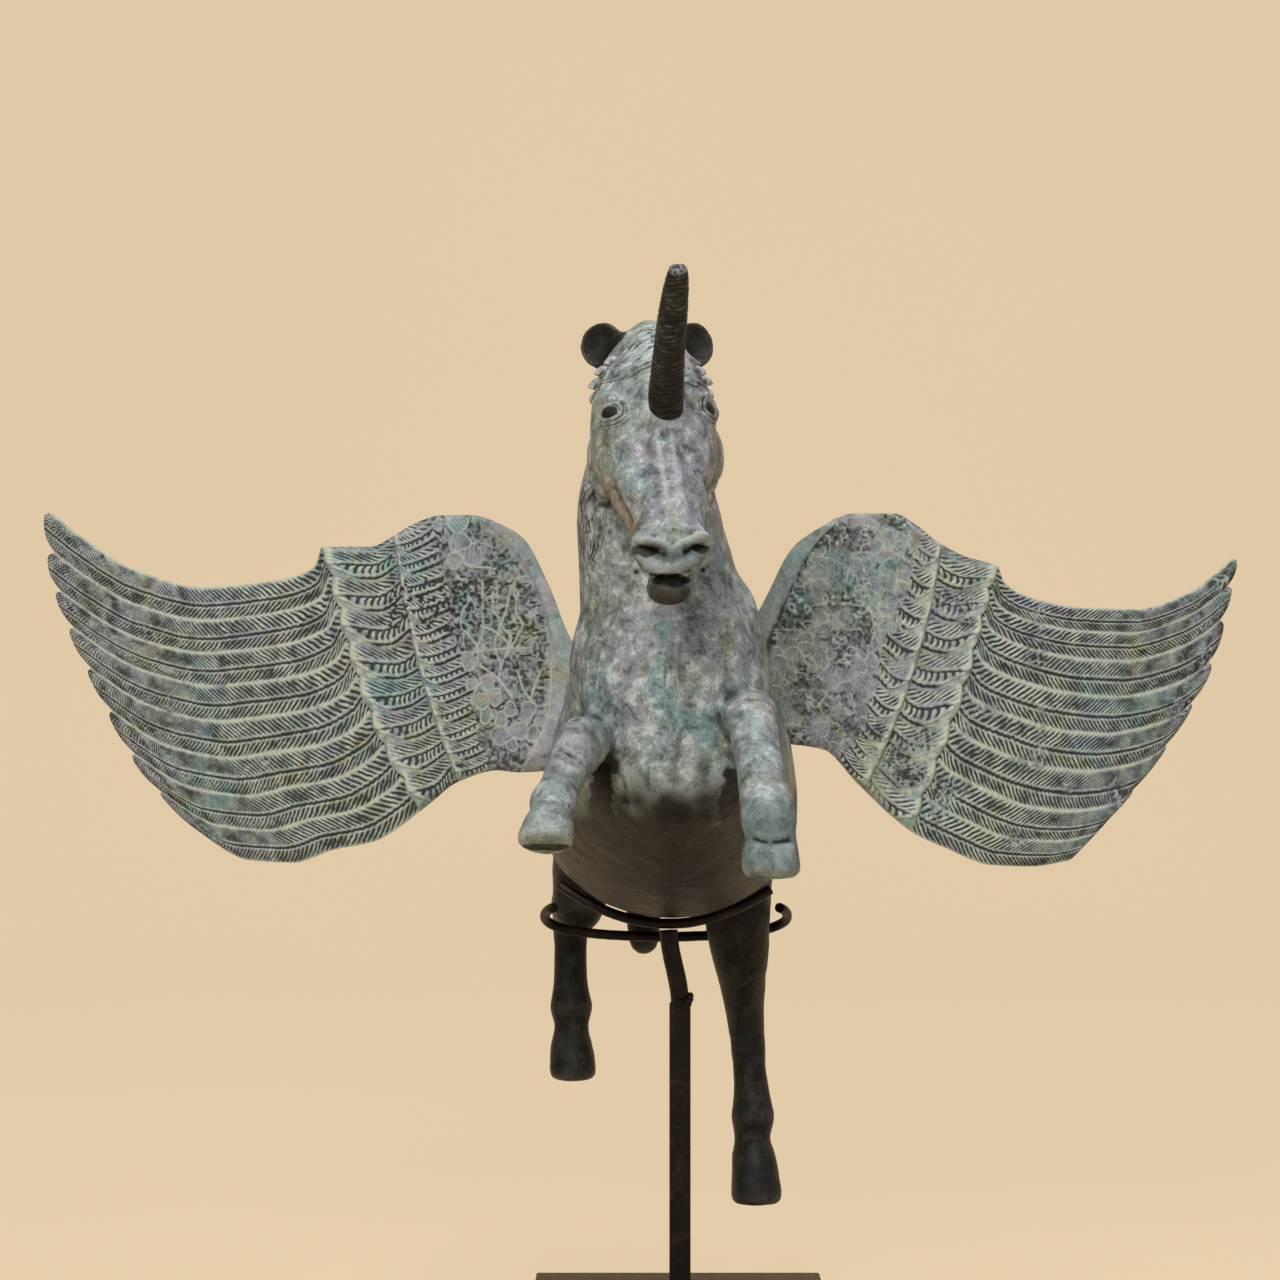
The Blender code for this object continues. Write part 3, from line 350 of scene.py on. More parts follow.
RIGHT_WING = {
    "top": (
        (0, 84, 440), (1, 95, 443), (2, 117, 443), (2.5, 130, 436), (3, 140, 428),
        (3.5, 155, 420), (4, 174, 414), (4.06, 177, 406), (4.2, 193, 397),
        (4.4, 220, 392), (4.6, 251, 391), (4.8, 283, 401), (5, 311, 422),
    ),
    "bottom": (
        (0, 28, 320), (1, 59, 318), (2, 77, 315), (3, 96, 296), (4, 124, 271),
        (4.25, 143, 262), (4.5, 167, 253), (4.75, 190, 252), (4.9, 209, 255), (5, 221, 265),
    ),
    "borders": (
        ((0.2, 62, 425), (0.4, 47, 398), (0.6, 34, 372), (0.8, 26, 345)),
        ((0.2, 81, 417), (0.4, 68, 390), (0.6, 60, 368), (0.8, 56, 342)),
        ((0.25, 109, 402), (0.5, 98, 365), (0.75, 89, 336)),
        ((0.25, 133, 391), (0.5, 122, 354), (0.75, 108, 319)),
        ((0.25, 166, 386), (0.5, 155, 348), (0.75, 140, 309)),
        ((0.2, 305, 396), (0.4, 294, 360), (0.6, 273, 324), (0.8, 243, 287)),
    ),
}
WING_HALF_THICKNESS = 0.0022
WING_EDGE_HALF = 0.0012
ROLL_BULGE = 0.0045
FEATHER_RIDGE = 0.0013
COVERT_STEP = 0.0016
WING_SWEEP = 0.044
WING_SWEEP_POWER = 1.4
WING_ROOT_Y = -0.022
WING_SPAN = 0.285
WING_LEAN = 0.16
WING_MIDDLE_Z = 0.350
BODY_MIDDLE_X = -0.008
ROOT_HALF = 0.050

# Grids of the wing pieces, along the wing and across it, and the triangles kept on each plain back.
LAST_BAND = 5
LONG_GRID = (300, 264)
LONG_FIRST_BAND = 3.88
LONG_BACK_FACES = 18000
COVERT_GRID = (244, 288)
COVERT_LAST_BAND = 4.02
COVERT_BACK_FACES = 16000
ARM_STEPS = 30

# Where the smooth rolled arm of each wing ends and where its coverts begin, as bands.
LEFT_ARM, RIGHT_ARM = 0.96, 0.46
LEFT_INNER, RIGHT_INNER = 2.15, 2.45

# Rows of coverts: outer band, inner band, how many feathers, and the scallop of their ends in bands.
LEFT_COVERTS = ((4.0, 3.0, 8, 0.30), (3.0, 2.15, 12, 0.32))
RIGHT_COVERTS = ((4.0, 3.1, 8, 0.42), (3.1, 2.35, 9, 0.42))

# One band of coverts in metres.
BAND_LENGTH = 0.026

# Scales of the right wing, in metres: the first one, their spacing and wander, their radii, and how many.
SCALE_START = (0.036, 0.298)
SCALE_STEP = 0.0076
SCALE_WANDER = 0.0018
SCALE_RADII = (0.0044, 0.0066)
SCALE_LINES, SCALE_SPOTS = 16, 20

# Threads and scales of the left wing: x and z, and the radius of a scale.
LEFT_THREADS = (
    ((-114.0, 396.0), (-118.3, 388.5), (-118.9, 382.3), (-114.0, 376.0), (-109.0, 368.5), (-109.6, 362.3)),
    ((-107.1, 404.7), (-107.1, 391.0), (-106.5, 379.8), (-110.2, 369.8), (-112.7, 364.8)),
    ((-101.5, 399.7), (-101.5, 391.0), (-97.7, 384.8), (-97.7, 379.8), (-100.2, 372.3), (-96.5, 358.6)),
    ((-91.5, 403.5), (-94.0, 391.0), (-96.5, 382.3), (-91.5, 374.8), (-97.7, 354.8), (-90.3, 343.6)),
    ((-87.8, 399.7), (-89.0, 389.7), (-85.3, 382.3), (-87.8, 376.0), (-94.0, 364.8)),
    ((-80.9, 408.4), (-87.8, 407.8), (-90.3, 402.2), (-89.0, 396.0)),
    ((-112.7, 367.3), (-96.5, 369.2), (-80.3, 369.8)),
    ((-75.3, 357.3), (-80.3, 343.6), (-82.8, 329.9), (-82.2, 323.6)),
    ((-87.8, 357.3), (-84.0, 346.1), (-77.2, 338.6)),
    ((-90.3, 369.8), (-100.2, 378.5), (-107.7, 381.6)),
    ((-107.7, 359.8), (-100.2, 354.8), (-90.3, 342.3)),
    ((-80.3, 337.4), (-70.3, 339.9)),
    ((-120.2, 417.2), (-112.7, 413.4), (-106.5, 413.4), (-100.2, 412.2)),
)
LEFT_DISCS = (
    (-121, 437, 5.6), (-120, 427, 6.0), (-112.5, 420, 6.2), (-107.5, 341, 5.0), (-100, 343.5, 4.5),
    (-97.5, 322.5, 5.2), (-87, 325, 5.2), (-79, 323.5, 4.5), (-81.5, 336.5, 4.7), (-114, 361.5, 4.5),
    (-104.5, 333.5, 4.5), (-122.5, 417, 4.7), (-74.5, 331, 4.2), (-91.5, 336.5, 4.2), (-104, 351, 4.5),
    (-112.5, 350, 3.7), (-90.5, 317.5, 3.7), (-96.5, 331, 4.2),
)

# Painted shade in brown, seen from the front: in the nostrils, the mouth gap, under the horn, in the
# armpits, a chest crease and under the fore hooves, and a brown chin. Columns: x, z, half width, half
# height, strength, and the nearest and furthest y.
PAINTED_SHADE_PATCHES = (
    (-6.3, 395.5, 13.5, 8.0, 0.85, -260, -183),
    (-18.3, 416.6, 7.2, 3.0, 0.90, -260, -190),
    (7.0, 417.6, 5.0, 2.4, 0.90, -260, -190),
    (-6.5, 402.6, 11.5, 2.8, 1.0, -260, -183),
    (-7.0, 413.6, 8.5, 3.0, 0.42, -260, -190),
    (-9.4, 481.5, 8.0, 6.0, 0.95, -180, -110),
    (-41.0, 295.0, 6.5, 22.0, 0.85, -150, 20),
    (23.5, 290.0, 6.5, 24.0, 0.85, -160, 20),
    (-65.6, 277.4, 13.0, 1.9, 0.95, -260, -215),
    (-9.6, 348.0, 1.6, 18.0, 0.30, -200, -80),
    (-48.0, 312.0, 4.0, 5.0, 0.40, -200, -140),
    (33.0, 262.0, 9.0, 2.0, 0.50, -260, -200),
)

# Horn and ears.
HORN_BASE = (-10.0, -165.5, 471.0)
HORN_TIP = (-3.6, -237.0, 549.5)
HORN_RADIUS = 0.0086
HORN_BEND = 0.0012
HORN_TAPER = ((0, 1.0), (0.25, 1.0), (0.5, 0.9), (0.75, 0.80), (0.9, 0.66), (0.97, 0.52), (1.0, 0.24))
EAR_HALF_WIDTH = 0.0115
EAR_HALF_HEIGHT = 0.0130
EAR_CUP_DEPTH = 0.0085
EAR_TILT = 0.25
EARS = (((-41.5, -123, 523.2), -0.25), ((5.5, -123, 523.2), 0.30))
EAR_PROFILE = (
    (0.35, 0.9), (0.8, 0.55), (0.97, 0.15), (1.0, -0.05), (0.97, -0.20), (0.90, -0.26),
    (0.82, -0.20), (0.78, -0.02), (0.66, 0.22), (0.45, 0.42), (0.2, 0.50),
)

# Eyes: x and z of the front view, half width, half height, turn outwards.
EYES = ((-36.0, 484.6, 9.2, 6.0, -0.40), (11.8, 487.0, 7.6, 6.4, 0.80))
# Folds round an eye: share of its half width and half height, radius of the fold and its rise off the skin.
EYE_FOLDS = ((0.80, 0.84, 0.0012, 0.0011), (1.06, 1.16, 0.0012, 0.0003), (1.30, 1.52, 0.0009, -0.0003))

# Forelock and mane strands of the front view: x and z.
FORELOCK = (
    (
        (-14.2, 519.9), (-19.1, 515.4), (-27.5, 510.7), (-34.6, 506.6),
        (-40.2, 504.5), (-44.1, 500.5), (-43.3, 496.3),
    ),
    ((-14.9, 517.1), (-21.2, 511.8), (-28.2, 507.3), (-36.0, 503.6), (-41.6, 502.2), (-44.9, 498.9)),
    ((-15.2, 523.4), (-22.6, 519.7), (-27.5, 514.6), (-32.4, 510.4), (-37.4, 508.0)),
    ((-13.8, 529.5), (-18.4, 528.1), (-21.1, 524.1), (-21.6, 519.2)),
    ((-14.6, 514.0), (-20.5, 509.4), (-26.1, 505.9), (-31.7, 502.8)),
    ((-2.2, 510.8), (4.1, 508.4), (9.0, 505.9), (12.9, 502.8), (14.0, 498.6)),
    ((-0.6, 507.3), (4.8, 505.0), (9.7, 502.4), (12.4, 498.9)),
    ((0.6, 513.5), (6.2, 511.2), (11.1, 508.0), (13.2, 504.5)),
    ((-0.8, 503.8), (3.7, 502.4), (7.6, 499.6)),
)
SIDE_MANE = (
    ((-48.1, 454.0), (-51.2, 442.3), (-48.1, 430.7), (-52.7, 418.6), (-50.2, 406.9), (-53.7, 394.3)),
    ((-50.2, 452.0), (-53.7, 438.8), (-52.2, 424.6), (-55.2, 411.5), (-53.7, 398.3), (-56.2, 384.1)),
    ((-45.1, 444.9), (-47.1, 433.7), (-44.6, 422.1), (-48.6, 409.4), (-47.1, 396.8)),
    ((-42.1, 438.8), (-41.0, 429.7), (-43.1, 420.6), (-41.5, 413.5)),
)
# Rise of a strand off the skin over which its painted shade at the skin fades to painted highlight.
HAIR_RISE = 0.0010
STRAND_OFFSETS = (-1.0, -0.33, 0.33, 1.0)
MANE_STRAND_SHIFTS = (-4.5, -1.5, 1.5, 4.5)
CURL_FRONT = -0.150
CURL_TURNS = 0.8
CURL_POINTS = 40
# Curls at the ends of the forelock: x, z, radius and the way they turn.
CURLS = (
    (-40.0, 498.0, 4.4, 1), (-36.0, 503.5, 4.0, 1), (-40.5, 492.0, 3.4, -1), (-30.0, 505.5, 3.6, 1),
    (10.6, 501.0, 4.0, -1), (7.0, 506.0, 3.6, -1), (11.8, 495.0, 3.4, 1),
)
FAR_FRONT = -0.6

# Rounds of averaging on the fused skin, and those that tell fine and broad hollows from the ridges.
SKIN_ROUNDS = 30
FINE_ROUNDS = 8
BROAD_ROUNDS = 60
FINE_HEIGHT = 0.00032
BROAD_HEIGHT = 0.0016
BOX_MARGIN = 1e-4

# Warm stains: place and radius.
STAIN_SPOTS = (
    ((-0.037, -0.170, 0.4460), 0.0075), ((-0.032, -0.180, 0.4360), 0.0065),
    ((-0.027, -0.190, 0.4280), 0.0060), ((0.0005, -0.117, 0.524), 0.0055),
    ((-0.043, -0.117, 0.528), 0.0024),
)

# Stand: the rods that are forged, and the weld beads' x, y and height over the post, radius and seed.
FORGED_RODS = ("front_cradle_rod", "rear_cradle_rod", "cradle_tie_rod", "neck_rod")
WELD_BEADS = (
    (0.0042, -0.0036, 0.0012, 0.0030, 2), (0.0046, 0.0010, 0.0030, 0.0026, 5),
    (-0.0010, -0.0044, 0.0006, 0.0026, 8),
)

# Layers of the patina.
OLIVE = (0.215, 0.220, 0.125)
TEAL = (0.120, 0.235, 0.250)
RUST = (0.190, 0.120, 0.070)
COLD_TEAL = (0.075, 0.125, 0.130)
SCUM = (0.055, 0.056, 0.044)
STREAK = (0.046, 0.050, 0.042)
# Grime in pits and cracks, and painted shade in the hollows.
GRIME_AND_SHADE = (0.016, 0.015, 0.010)
FLECK = (0.50, 0.53, 0.49)
WARM_BROWN = (0.015, 0.0115, 0.0055)
DRY_BROWN = (0.032, 0.027, 0.016)
DUST = (0.12, 0.12, 0.105)
# Paler brown on the ridges of the brown parts: worn patina and painted highlight.
WORN_AND_HIGHLIT_BROWN = (0.080, 0.073, 0.058)

# Layers of the iron and the backdrop.
# Brown of the plate: a painted reflection of the warm backdrop in its top.
PAINTED_PLATE_REFLECTION = (0.052, 0.031, 0.013)
IRON_RUST = (0.085, 0.038, 0.018)
IRON_RUBBED = (0.11, 0.085, 0.062)
IRON_SOOT = (0.006, 0.004, 0.003)
BACKDROP_CLOUD = (0.68, 0.53, 0.35)


class UnicornSizes(bpy.types.PropertyGroup):
    """Sizes of the detail that is cast into the figure."""

    skin_voxel: FloatProperty(
        name="Skin grain", description="Edge of the cells that the skin is fused with", default=0.0012,
        min=0.0008, max=0.004, precision=4, unit="LENGTH",
    )
    skin_faces: IntProperty(
        name="Skin faces", description="Triangles kept on the skin", default=190000, min=20000, max=199000,
    )
    long_feathers: IntProperty(
        name="Long feathers", description="Long feathers of each wing", default=8, min=4, max=14,
    )
    barb_pitch: FloatProperty(
        name="Barb pitch", description="Distance between the barbs of a feather at its root",
        default=0.0037, min=0.002, max=0.008, precision=4, unit="LENGTH",
    )
    barb_height: FloatProperty(
        name="Barb height", description="How far the barbs stand above their grooves", default=0.0010,
        min=0.0002, max=0.002, precision=4, unit="LENGTH",
    )
    horn_rings: IntProperty(
        name="Horn rings", description="Fine ridges round the horn", default=42, min=8, max=80,
    )


class UnicornColours(bpy.types.PropertyGroup):
    """Colours of the patina and the iron."""

    verdigris: FloatVectorProperty(
        name="Verdigris", description="Grey green of most of the skin", subtype="COLOR", size=3,
        default=(0.180, 0.216, 0.202), min=0, max=1,
    )
    ash: FloatVectorProperty(
        name="Ash", description="Violet grey where the green is worn thin", subtype="COLOR", size=3,
        default=(0.205, 0.204, 0.236), min=0, max=1,
    )
    # Laid on in patches and, as painted highlight, on the ridges of the carving.
    bloom_and_highlight: FloatVectorProperty(
        name="Bloom", description="Pale bloom on the ridges of the carving", subtype="COLOR", size=3,
        default=(0.365, 0.390, 0.300), min=0, max=1,
    )
    # Laid on in patches and, as painted highlight, on the ridges of the skin.
    frost: FloatVectorProperty(
        name="Frost", description="Pale blue grey on the rubbed skin", subtype="COLOR", size=3,
        default=(0.455, 0.480, 0.470), min=0, max=1,
    )
    # Umber is the dark patina and also the painted shade of the underside and recesses.
    umber: FloatVectorProperty(
        name="Umber", description="Dark brown of recesses, horn and hind legs", subtype="COLOR", size=3,
        default=(0.005, 0.0037, 0.002), min=0, max=1,
    )
    ochre: FloatVectorProperty(
        name="Ochre", description="Warm stains", subtype="COLOR", size=3,
        default=(0.24, 0.135, 0.06), min=0, max=1,
    )
    iron: FloatVectorProperty(
        name="Iron", description="Blackened iron of the stand", subtype="COLOR", size=3,
        default=(0.0085, 0.0056, 0.0036), min=0, max=1,
    )
    backdrop: FloatVectorProperty(
        name="Backdrop", description="Warm pale floor and backdrop", subtype="COLOR", size=3,
        default=(0.800, 0.628, 0.418), min=0, max=1,
    )


def sizes():
    return bpy.context.scene.unicorn_sizes


def colours():
    return bpy.context.scene.unicorn_colours


def spline(rows, positions):
    """Rows of (key, values...) read at the positions along the key, on a smooth curve."""
    table = np.array(rows, float)
    keys, values = table[:, 0], table[:, 1:]
    chords = np.diff(values, axis=0) / np.diff(keys)[:, None]
    slopes = np.vstack([chords[:1], np.zeros((len(keys) - 2, values.shape[1])), chords[-1:]])
    before, after = chords[:-1], chords[1:]
    same = before * after > 0
    slopes[1:-1][same] = 2 * before[same] * after[same] / (before[same] + after[same])
    place = np.clip(np.searchsorted(keys, positions, side="right") - 1, 0, len(keys) - 2)
    span = keys[place + 1] - keys[place]
    part = ((positions - keys[place]) / span)[:, None]
    span = span[:, None]
    return (
        (2 * part**3 - 3 * part**2 + 1) * values[place]
        + (part**3 - 2 * part**2 + part) * span * slopes[place]
        + (3 * part**2 - 2 * part**3) * values[place + 1]
        + (part**3 - part**2) * span * slopes[place + 1]
    )


def dense(rows, steps):
    """More rows between the given ones, on a smooth curve through them."""
    keyed = [(index, *row) for index, row in enumerate(rows)]
    return spline(keyed, np.linspace(0, len(rows) - 1, (len(rows) - 1) * steps + 1))


def stack_faces(rings, sides):
    """Faces of a closed tube of rings, with one face on each end."""
    faces = []
    for ring in range(rings - 1):
        for side in range(sides):
            after = (side + 1) % sides
            low, high = ring * sides, (ring + 1) * sides
            faces.append((low + side, low + after, high + after, high + side))
    faces.append(tuple(reversed(range(sides))))
    faces.append(tuple(range((rings - 1) * sides, rings * sides)))
    return faces


def lattice(points, spacing, seed):
    """Smooth noise from -1 to 1 at points of any count, with the given spacing of its lattice."""
    cells = np.asarray(points, float) / spacing
    low = np.floor(cells)
    part = cells - low
    part = part * part * (3 - 2 * part)
    total = np.zeros(len(cells))
    for corner in range(8):
        step = np.array([(corner >> axis) & 1 for axis in range(3)], float)
        node = low + step
        value = np.sin(node @ np.array([127.1, 311.7, 74.7]) + seed * 19.19) * 43758.5453
        weight = np.prod(np.where(step > 0, part, 1 - part), axis=1)
        total += weight * (value - np.floor(value))
    return total * 2 - 1


def activate(obj):
    bpy.ops.object.select_all(action="DESELECT")
    obj.select_set(True)
    bpy.context.view_layer.objects.active = obj


def applied(obj, kind, **settings):
    """A modifier of that kind put on the object and applied."""
    activate(obj)
    bpy.ops.object.modifier_add(type=kind)
    modifier = obj.modifiers[-1]
    for key, value in settings.items():
        setattr(modifier, key, value)
    bpy.ops.object.modifier_apply(modifier=modifier.name)


def add_mesh(name, points, faces):
    mesh = bpy.data.meshes.new(name)
    mesh.from_pydata(points, [], faces)
    mesh.update()
    obj = bpy.data.objects.new(name, mesh)
    bpy.context.scene.collection.objects.link(obj)
    return obj


def joined(name, pieces):
    """The pieces as one object of that name."""
    activate(pieces[0])
    for piece in pieces:
        piece.select_set(True)
    bpy.ops.object.join()
    pieces[0].name = name
    pieces[0].data.name = name
    return pieces[0]


def outward(obj):
    """Merges doubles and turns every face outwards."""
    activate(obj)
    bpy.ops.object.mode_set(mode="EDIT")
    bpy.ops.mesh.select_all(action="SELECT")
    bpy.ops.mesh.remove_doubles(threshold=1e-6)
    bpy.ops.mesh.normals_make_consistent(inside=False)
    bpy.ops.object.mode_set(mode="OBJECT")
    return obj


def read_points(obj):
    values = np.empty(len(obj.data.vertices) * 3)
    obj.data.vertices.foreach_get("co", values)
    return values.reshape(-1, 3)


def write_points(obj, points):
    """Moves the object's points, held just inside the box of the solids."""
    low = np.array(SOLID_BOX[0]) + BOX_MARGIN
    high = np.array(SOLID_BOX[1]) - BOX_MARGIN
    obj.data.vertices.foreach_set("co", np.clip(points, low, high).ravel())
    obj.data.update()


def read_normals(obj):
    values = np.empty(len(obj.data.vertices) * 3, np.float32)
    obj.data.vertices.foreach_get("normal", values)
    return values.reshape(-1, 3).astype(float)


def read_edges(obj):
    values = np.empty(len(obj.data.edges) * 2, np.int32)
    obj.data.edges.foreach_get("vertices", values)
    return values.reshape(-1, 2)


def softened(points, edges, rounds):
    """The points after rounds of averaging with their neighbours."""
    count = len(points)
    weight = np.maximum(np.bincount(edges.ravel(), minlength=count), 1)[:, None]
    for _ in range(rounds):
        total = np.stack([
            np.bincount(edges[:, 0], points[edges[:, 1], axis], count)
            + np.bincount(edges[:, 1], points[edges[:, 0], axis], count)
            for axis in range(points.shape[1])
        ], axis=1)
        points = 0.5 * points + 0.5 * total / weight
    return points


def route_distance(points, route):
    """Distance from each point to the nearest stretch of a route."""
    nearest = np.full(len(points), 1.0)
    for start, end in zip(route[:-1], route[1:]):
        line = end - start
        share = np.clip(((points - start) @ line) / max(line @ line, 1e-12), 0, 1)
        nearest = np.minimum(nearest, np.linalg.norm(points - start - share[:, None] * line, axis=1))
    return nearest


def upright_axes(facing):
    """The sideways and the upward axis of a piece that faces that way."""
    side = facing.cross(Vector((0, 0, 1))).normalized()
    return side, side.cross(facing)


def front_hit(tree, x, z):
    """Where the view through a front-view point in millimetres meets the skin, and the normal there."""
    hit, normal, _, _ = tree.ray_cast(Vector((x * MM, FAR_FRONT, z * MM)), Vector((0, 1, 0)))
    return hit, normal


def near_skin(tree, place, rise):
    """The nearest point of the skin, lifted off it by the rise."""
    hit, normal, _, _ = tree.find_nearest(Vector(place))
    return np.array(hit) + np.array(normal) * rise


def store_finish(obj, hollow, dark, stain, tone=None):
    """Ridge height, darkness (dark patina and painted shade), stain and tone of each point, kept as a
    colour for the materials.
    """
    layer = obj.data.color_attributes.new("finish", "FLOAT_COLOR", "POINT")
    values = np.stack([hollow, dark, stain, np.ones_like(hollow) if tone is None else tone], axis=1)
    layer.data.foreach_set("color", np.clip(values, 0, 1).astype(np.float32).ravel())


def dark_patina_and_shade(points):
    """Where the skin goes over to dark brown: dark patina on the hind legs and tail, dark patina and
    painted shade on the underside, darker ears, and the painted shade and brown patches.
    """
    y, z = points[:, 1], points[:, 2]
    wander = 0.010 * lattice(points, 0.022, 3) + 0.005 * lattice(points, 0.008, 4)
    # Darker towards the bottom: dark patina, and on the belly painted shade of the underside.
    under = np.clip((0.312 + wander - z) / 0.040, 0, 1)
    reach = np.clip((y + 0.180 + wander * 0.5) / 0.020, 0, 1)
    hooves = np.clip((0.13 - z) / 0.05, 0, 1) * 0.15
    total = under * reach * (1 - hooves)
    for centre, _ in EARS:
        gap = np.linalg.norm(points - np.array(centre) * MM, axis=1)
        total = np.maximum(total, np.clip((0.0165 - gap) / 0.004, 0, 0.68))
    return np.maximum(total, painted_shade_patches(points))


def painted_shade_patches(points):
    """Painted shade in brown at places seen from the front: nostrils, the gap of the mouth, under the horn,
    the armpits, a chest crease and under the fore hooves, and a brown chin.
    """
    total = np.zeros(len(points))
    wander = 1 + 0.25 * lattice(points, 0.004, 15)
    for x, z, wide, tall, strength, fore, back in PAINTED_SHADE_PATCHES:
        gap = np.hypot((points[:, 0] / MM - x) / wide, (points[:, 2] / MM - z) / tall) * wander
        value = np.clip((1.2 - gap) / 0.5, 0, 1) * strength
        here = (points[:, 1] < back * MM) & (points[:, 1] > fore * MM)
        total = np.maximum(total, np.where(here, value, 0))
    return total


def tones(points):
    """Darker, bluer fore hooves and muzzle, and a cooler foot of the chest and forelegs."""
    y, z = points[:, 1], points[:, 2]
    wander = 0.4 * lattice(points, 0.007, 16) + 0.3 * lattice(points, 0.0028, 17)
    hoof = np.clip((0.306 - z) / 0.012, 0, 1) * np.clip((-0.195 - y) / 0.010, 0, 1)
    right = np.where(points[:, 0] > 0, 1.0, 0.45)
    cannon = 0.30 * np.clip((0.335 - z) / 0.020, 0, 1) * np.clip((-0.150 - y) / 0.02, 0, 1)
    foot = 0.22 * np.clip((0.345 - z) / 0.030, 0, 1) * np.clip((-0.08 - y) / 0.02, 0, 1)
    muzzle = 0.85 * np.clip((0.4225 - z) / 0.004, 0, 1) * np.clip((-0.188 - y) / 0.006, 0, 1)
    muzzle = muzzle * (z > 0.385)
    shade = np.maximum.reduce([hoof * right, cannon, foot, muzzle])
    return np.clip(1 - shade * (1 + wander), 0, 1)


def stains(points):
    """Warm stains: by the jaw and in the ears."""
    total = np.zeros(len(points))
    for centre, radius in STAIN_SPOTS:
        gap = np.linalg.norm(points - np.array(centre), axis=1)
        total += np.exp(-((gap / radius) ** 2))
    return np.clip(total, 0, 1) * np.clip(0.75 + 0.5 * lattice(points, 0.003, 9), 0, 1)


def dress(obj, material, node=FIGURE):
    """Gives a finished piece its material and its body, and hides the solid that it stands for."""
    obj.data.materials.clear()
    obj.data.materials.append(material)
    activate(obj)
    bpy.ops.object.shade_smooth()
    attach(obj, BODY)
    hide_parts(node)
    return obj


# Skin

def limb(name, rows, sides, steps=8):
    """A closed form with elliptical sections, square to the line of its stations."""
    table = dense(rows, steps)
    centres, half_width, half_depth = table[:, :3], table[:, 3], table[:, 4]
    heading = np.gradient(centres, axis=0)
    heading /= np.linalg.norm(heading, axis=1)[:, None]
    across = np.cross(np.cross(heading, (1.0, 0.0, 0.0)), heading)
    across /= np.linalg.norm(across, axis=1)[:, None]
    front = np.cross(heading, across)
    turns = np.linspace(0, 2 * math.pi, sides, endpoint=False)
    points = [
        (centre + math.cos(turn) * wide * side + math.sin(turn) * deep * fore) * MM
        for centre, wide, deep, side, fore in zip(centres, half_width, half_depth, across, front)
        for turn in turns
    ]
    return add_mesh(name, points, stack_faces(len(centres), sides))


def barrel(name, rows, sides=64):
    """The trunk: upright egg-shaped sections."""
    points = []
    table = dense(rows, 8)
    for y, x, z, half, rise, drop in table:
        for turn in np.linspace(0, 2 * math.pi, sides, endpoint=False):
            height = math.sin(turn)
            tall = rise if height > 0 else drop
            points.append(((x + half * math.cos(turn)) * MM, y * MM, (z + tall * height) * MM))
    faces = stack_faces(len(table), sides)
    return add_mesh(name, points, [tuple(reversed(face)) for face in faces])


def mass(name, row):
    """One rounded mass of muscle, bone or lip."""
    x, y, z, wide, deep, tall = row
    bpy.ops.object.select_all(action="DESELECT")
    bpy.ops.mesh.primitive_ico_sphere_add(subdivisions=4, radius=1.0, location=(0, 0, 0))
    obj = bpy.context.active_object
    obj.name = name
    obj.scale = (wide * MM, deep * MM, tall * MM)
    obj.location = (x * MM, y * MM, z * MM)
    bpy.ops.object.transform_apply(location=True, rotation=True, scale=True)
    return obj


def lock_path(index, spread_scale=1.0, shift=0.0):
    """Stations of one mane lock: x, y, z and the width of the lock there."""
    top, foot = np.array(MANE_TOP, float), np.array(MANE_FOOT, float)
    share = index / (MANE_LOCKS - 1)
    start = top + (foot - top) * share
    spread = (LOCK_SPREAD_TOP + (LOCK_SPREAD_FOOT - LOCK_SPREAD_TOP) * share) * spread_scale
    rows = []
    for step in np.linspace(0, 1, LOCK_STATIONS):
        sway = LOCK_WAVE * math.sin(2 * math.pi * step + index)
        radius = LOCK_RADIUS * (1.0 - 0.6 * step) * (0.5 if step == 1 else 1.0)
        rows.append((
            start[0] - spread * math.sin(step * math.pi * 0.4),
            start[1] + sway - LOCK_SLANT * step + shift * (1 - 0.6 * step),
            start[2] - LOCK_LENGTH * step,
            radius * 0.75,
            radius * 1.2,
        ))
    return rows


def ear(name, centre, turn_out, sides=48):
    """A rounded cup with a rolled rim, open to the front."""
    facing = Vector((math.sin(turn_out), -math.cos(turn_out), EAR_TILT)).normalized()
    side, lift = upright_axes(facing)
    middle = Vector(centre) * MM
    points = []
    keyed = [(index, *row) for index, row in enumerate(EAR_PROFILE)]
    profile = spline(keyed, np.linspace(0, len(EAR_PROFILE) - 1, 41))
    for reach, depth in profile:
        for angle in np.linspace(0, 2 * math.pi, sides, endpoint=False):
            wide = side * math.cos(angle) * reach * EAR_HALF_WIDTH
            tall = lift * math.sin(angle) * reach * EAR_HALF_HEIGHT
            points.append(middle + wide + tall - facing * depth * EAR_CUP_DEPTH)
    obj = add_mesh(name, [tuple(point) for point in points], stack_faces(len(profile), sides))
    return outward(obj)


def on_skin(tree, path):
    """Points of the front view, in millimetres, set on the skin that faces the viewer."""
    hits = [front_hit(tree, x, z)[0] for x, z in path]
    return [np.array(hit) for hit in hits if hit is not None]


def pressed(points, normals, route, radius, depth):
    """Moves the points near a route along their normals, inwards for a positive depth."""
    route = np.array(route)
    reach = radius * MM * 2.8
    low, high = route.min(axis=0) - reach, route.max(axis=0) + reach
    near = np.nonzero(np.all((points > low) & (points < high), axis=1))[0]
    if not len(near):
        return
    nearest = route_distance(points[near], route)
    push = np.exp(-((nearest / (radius * MM)) ** 2)) * depth * MM
    points[near] -= normals[near] * push[:, None]


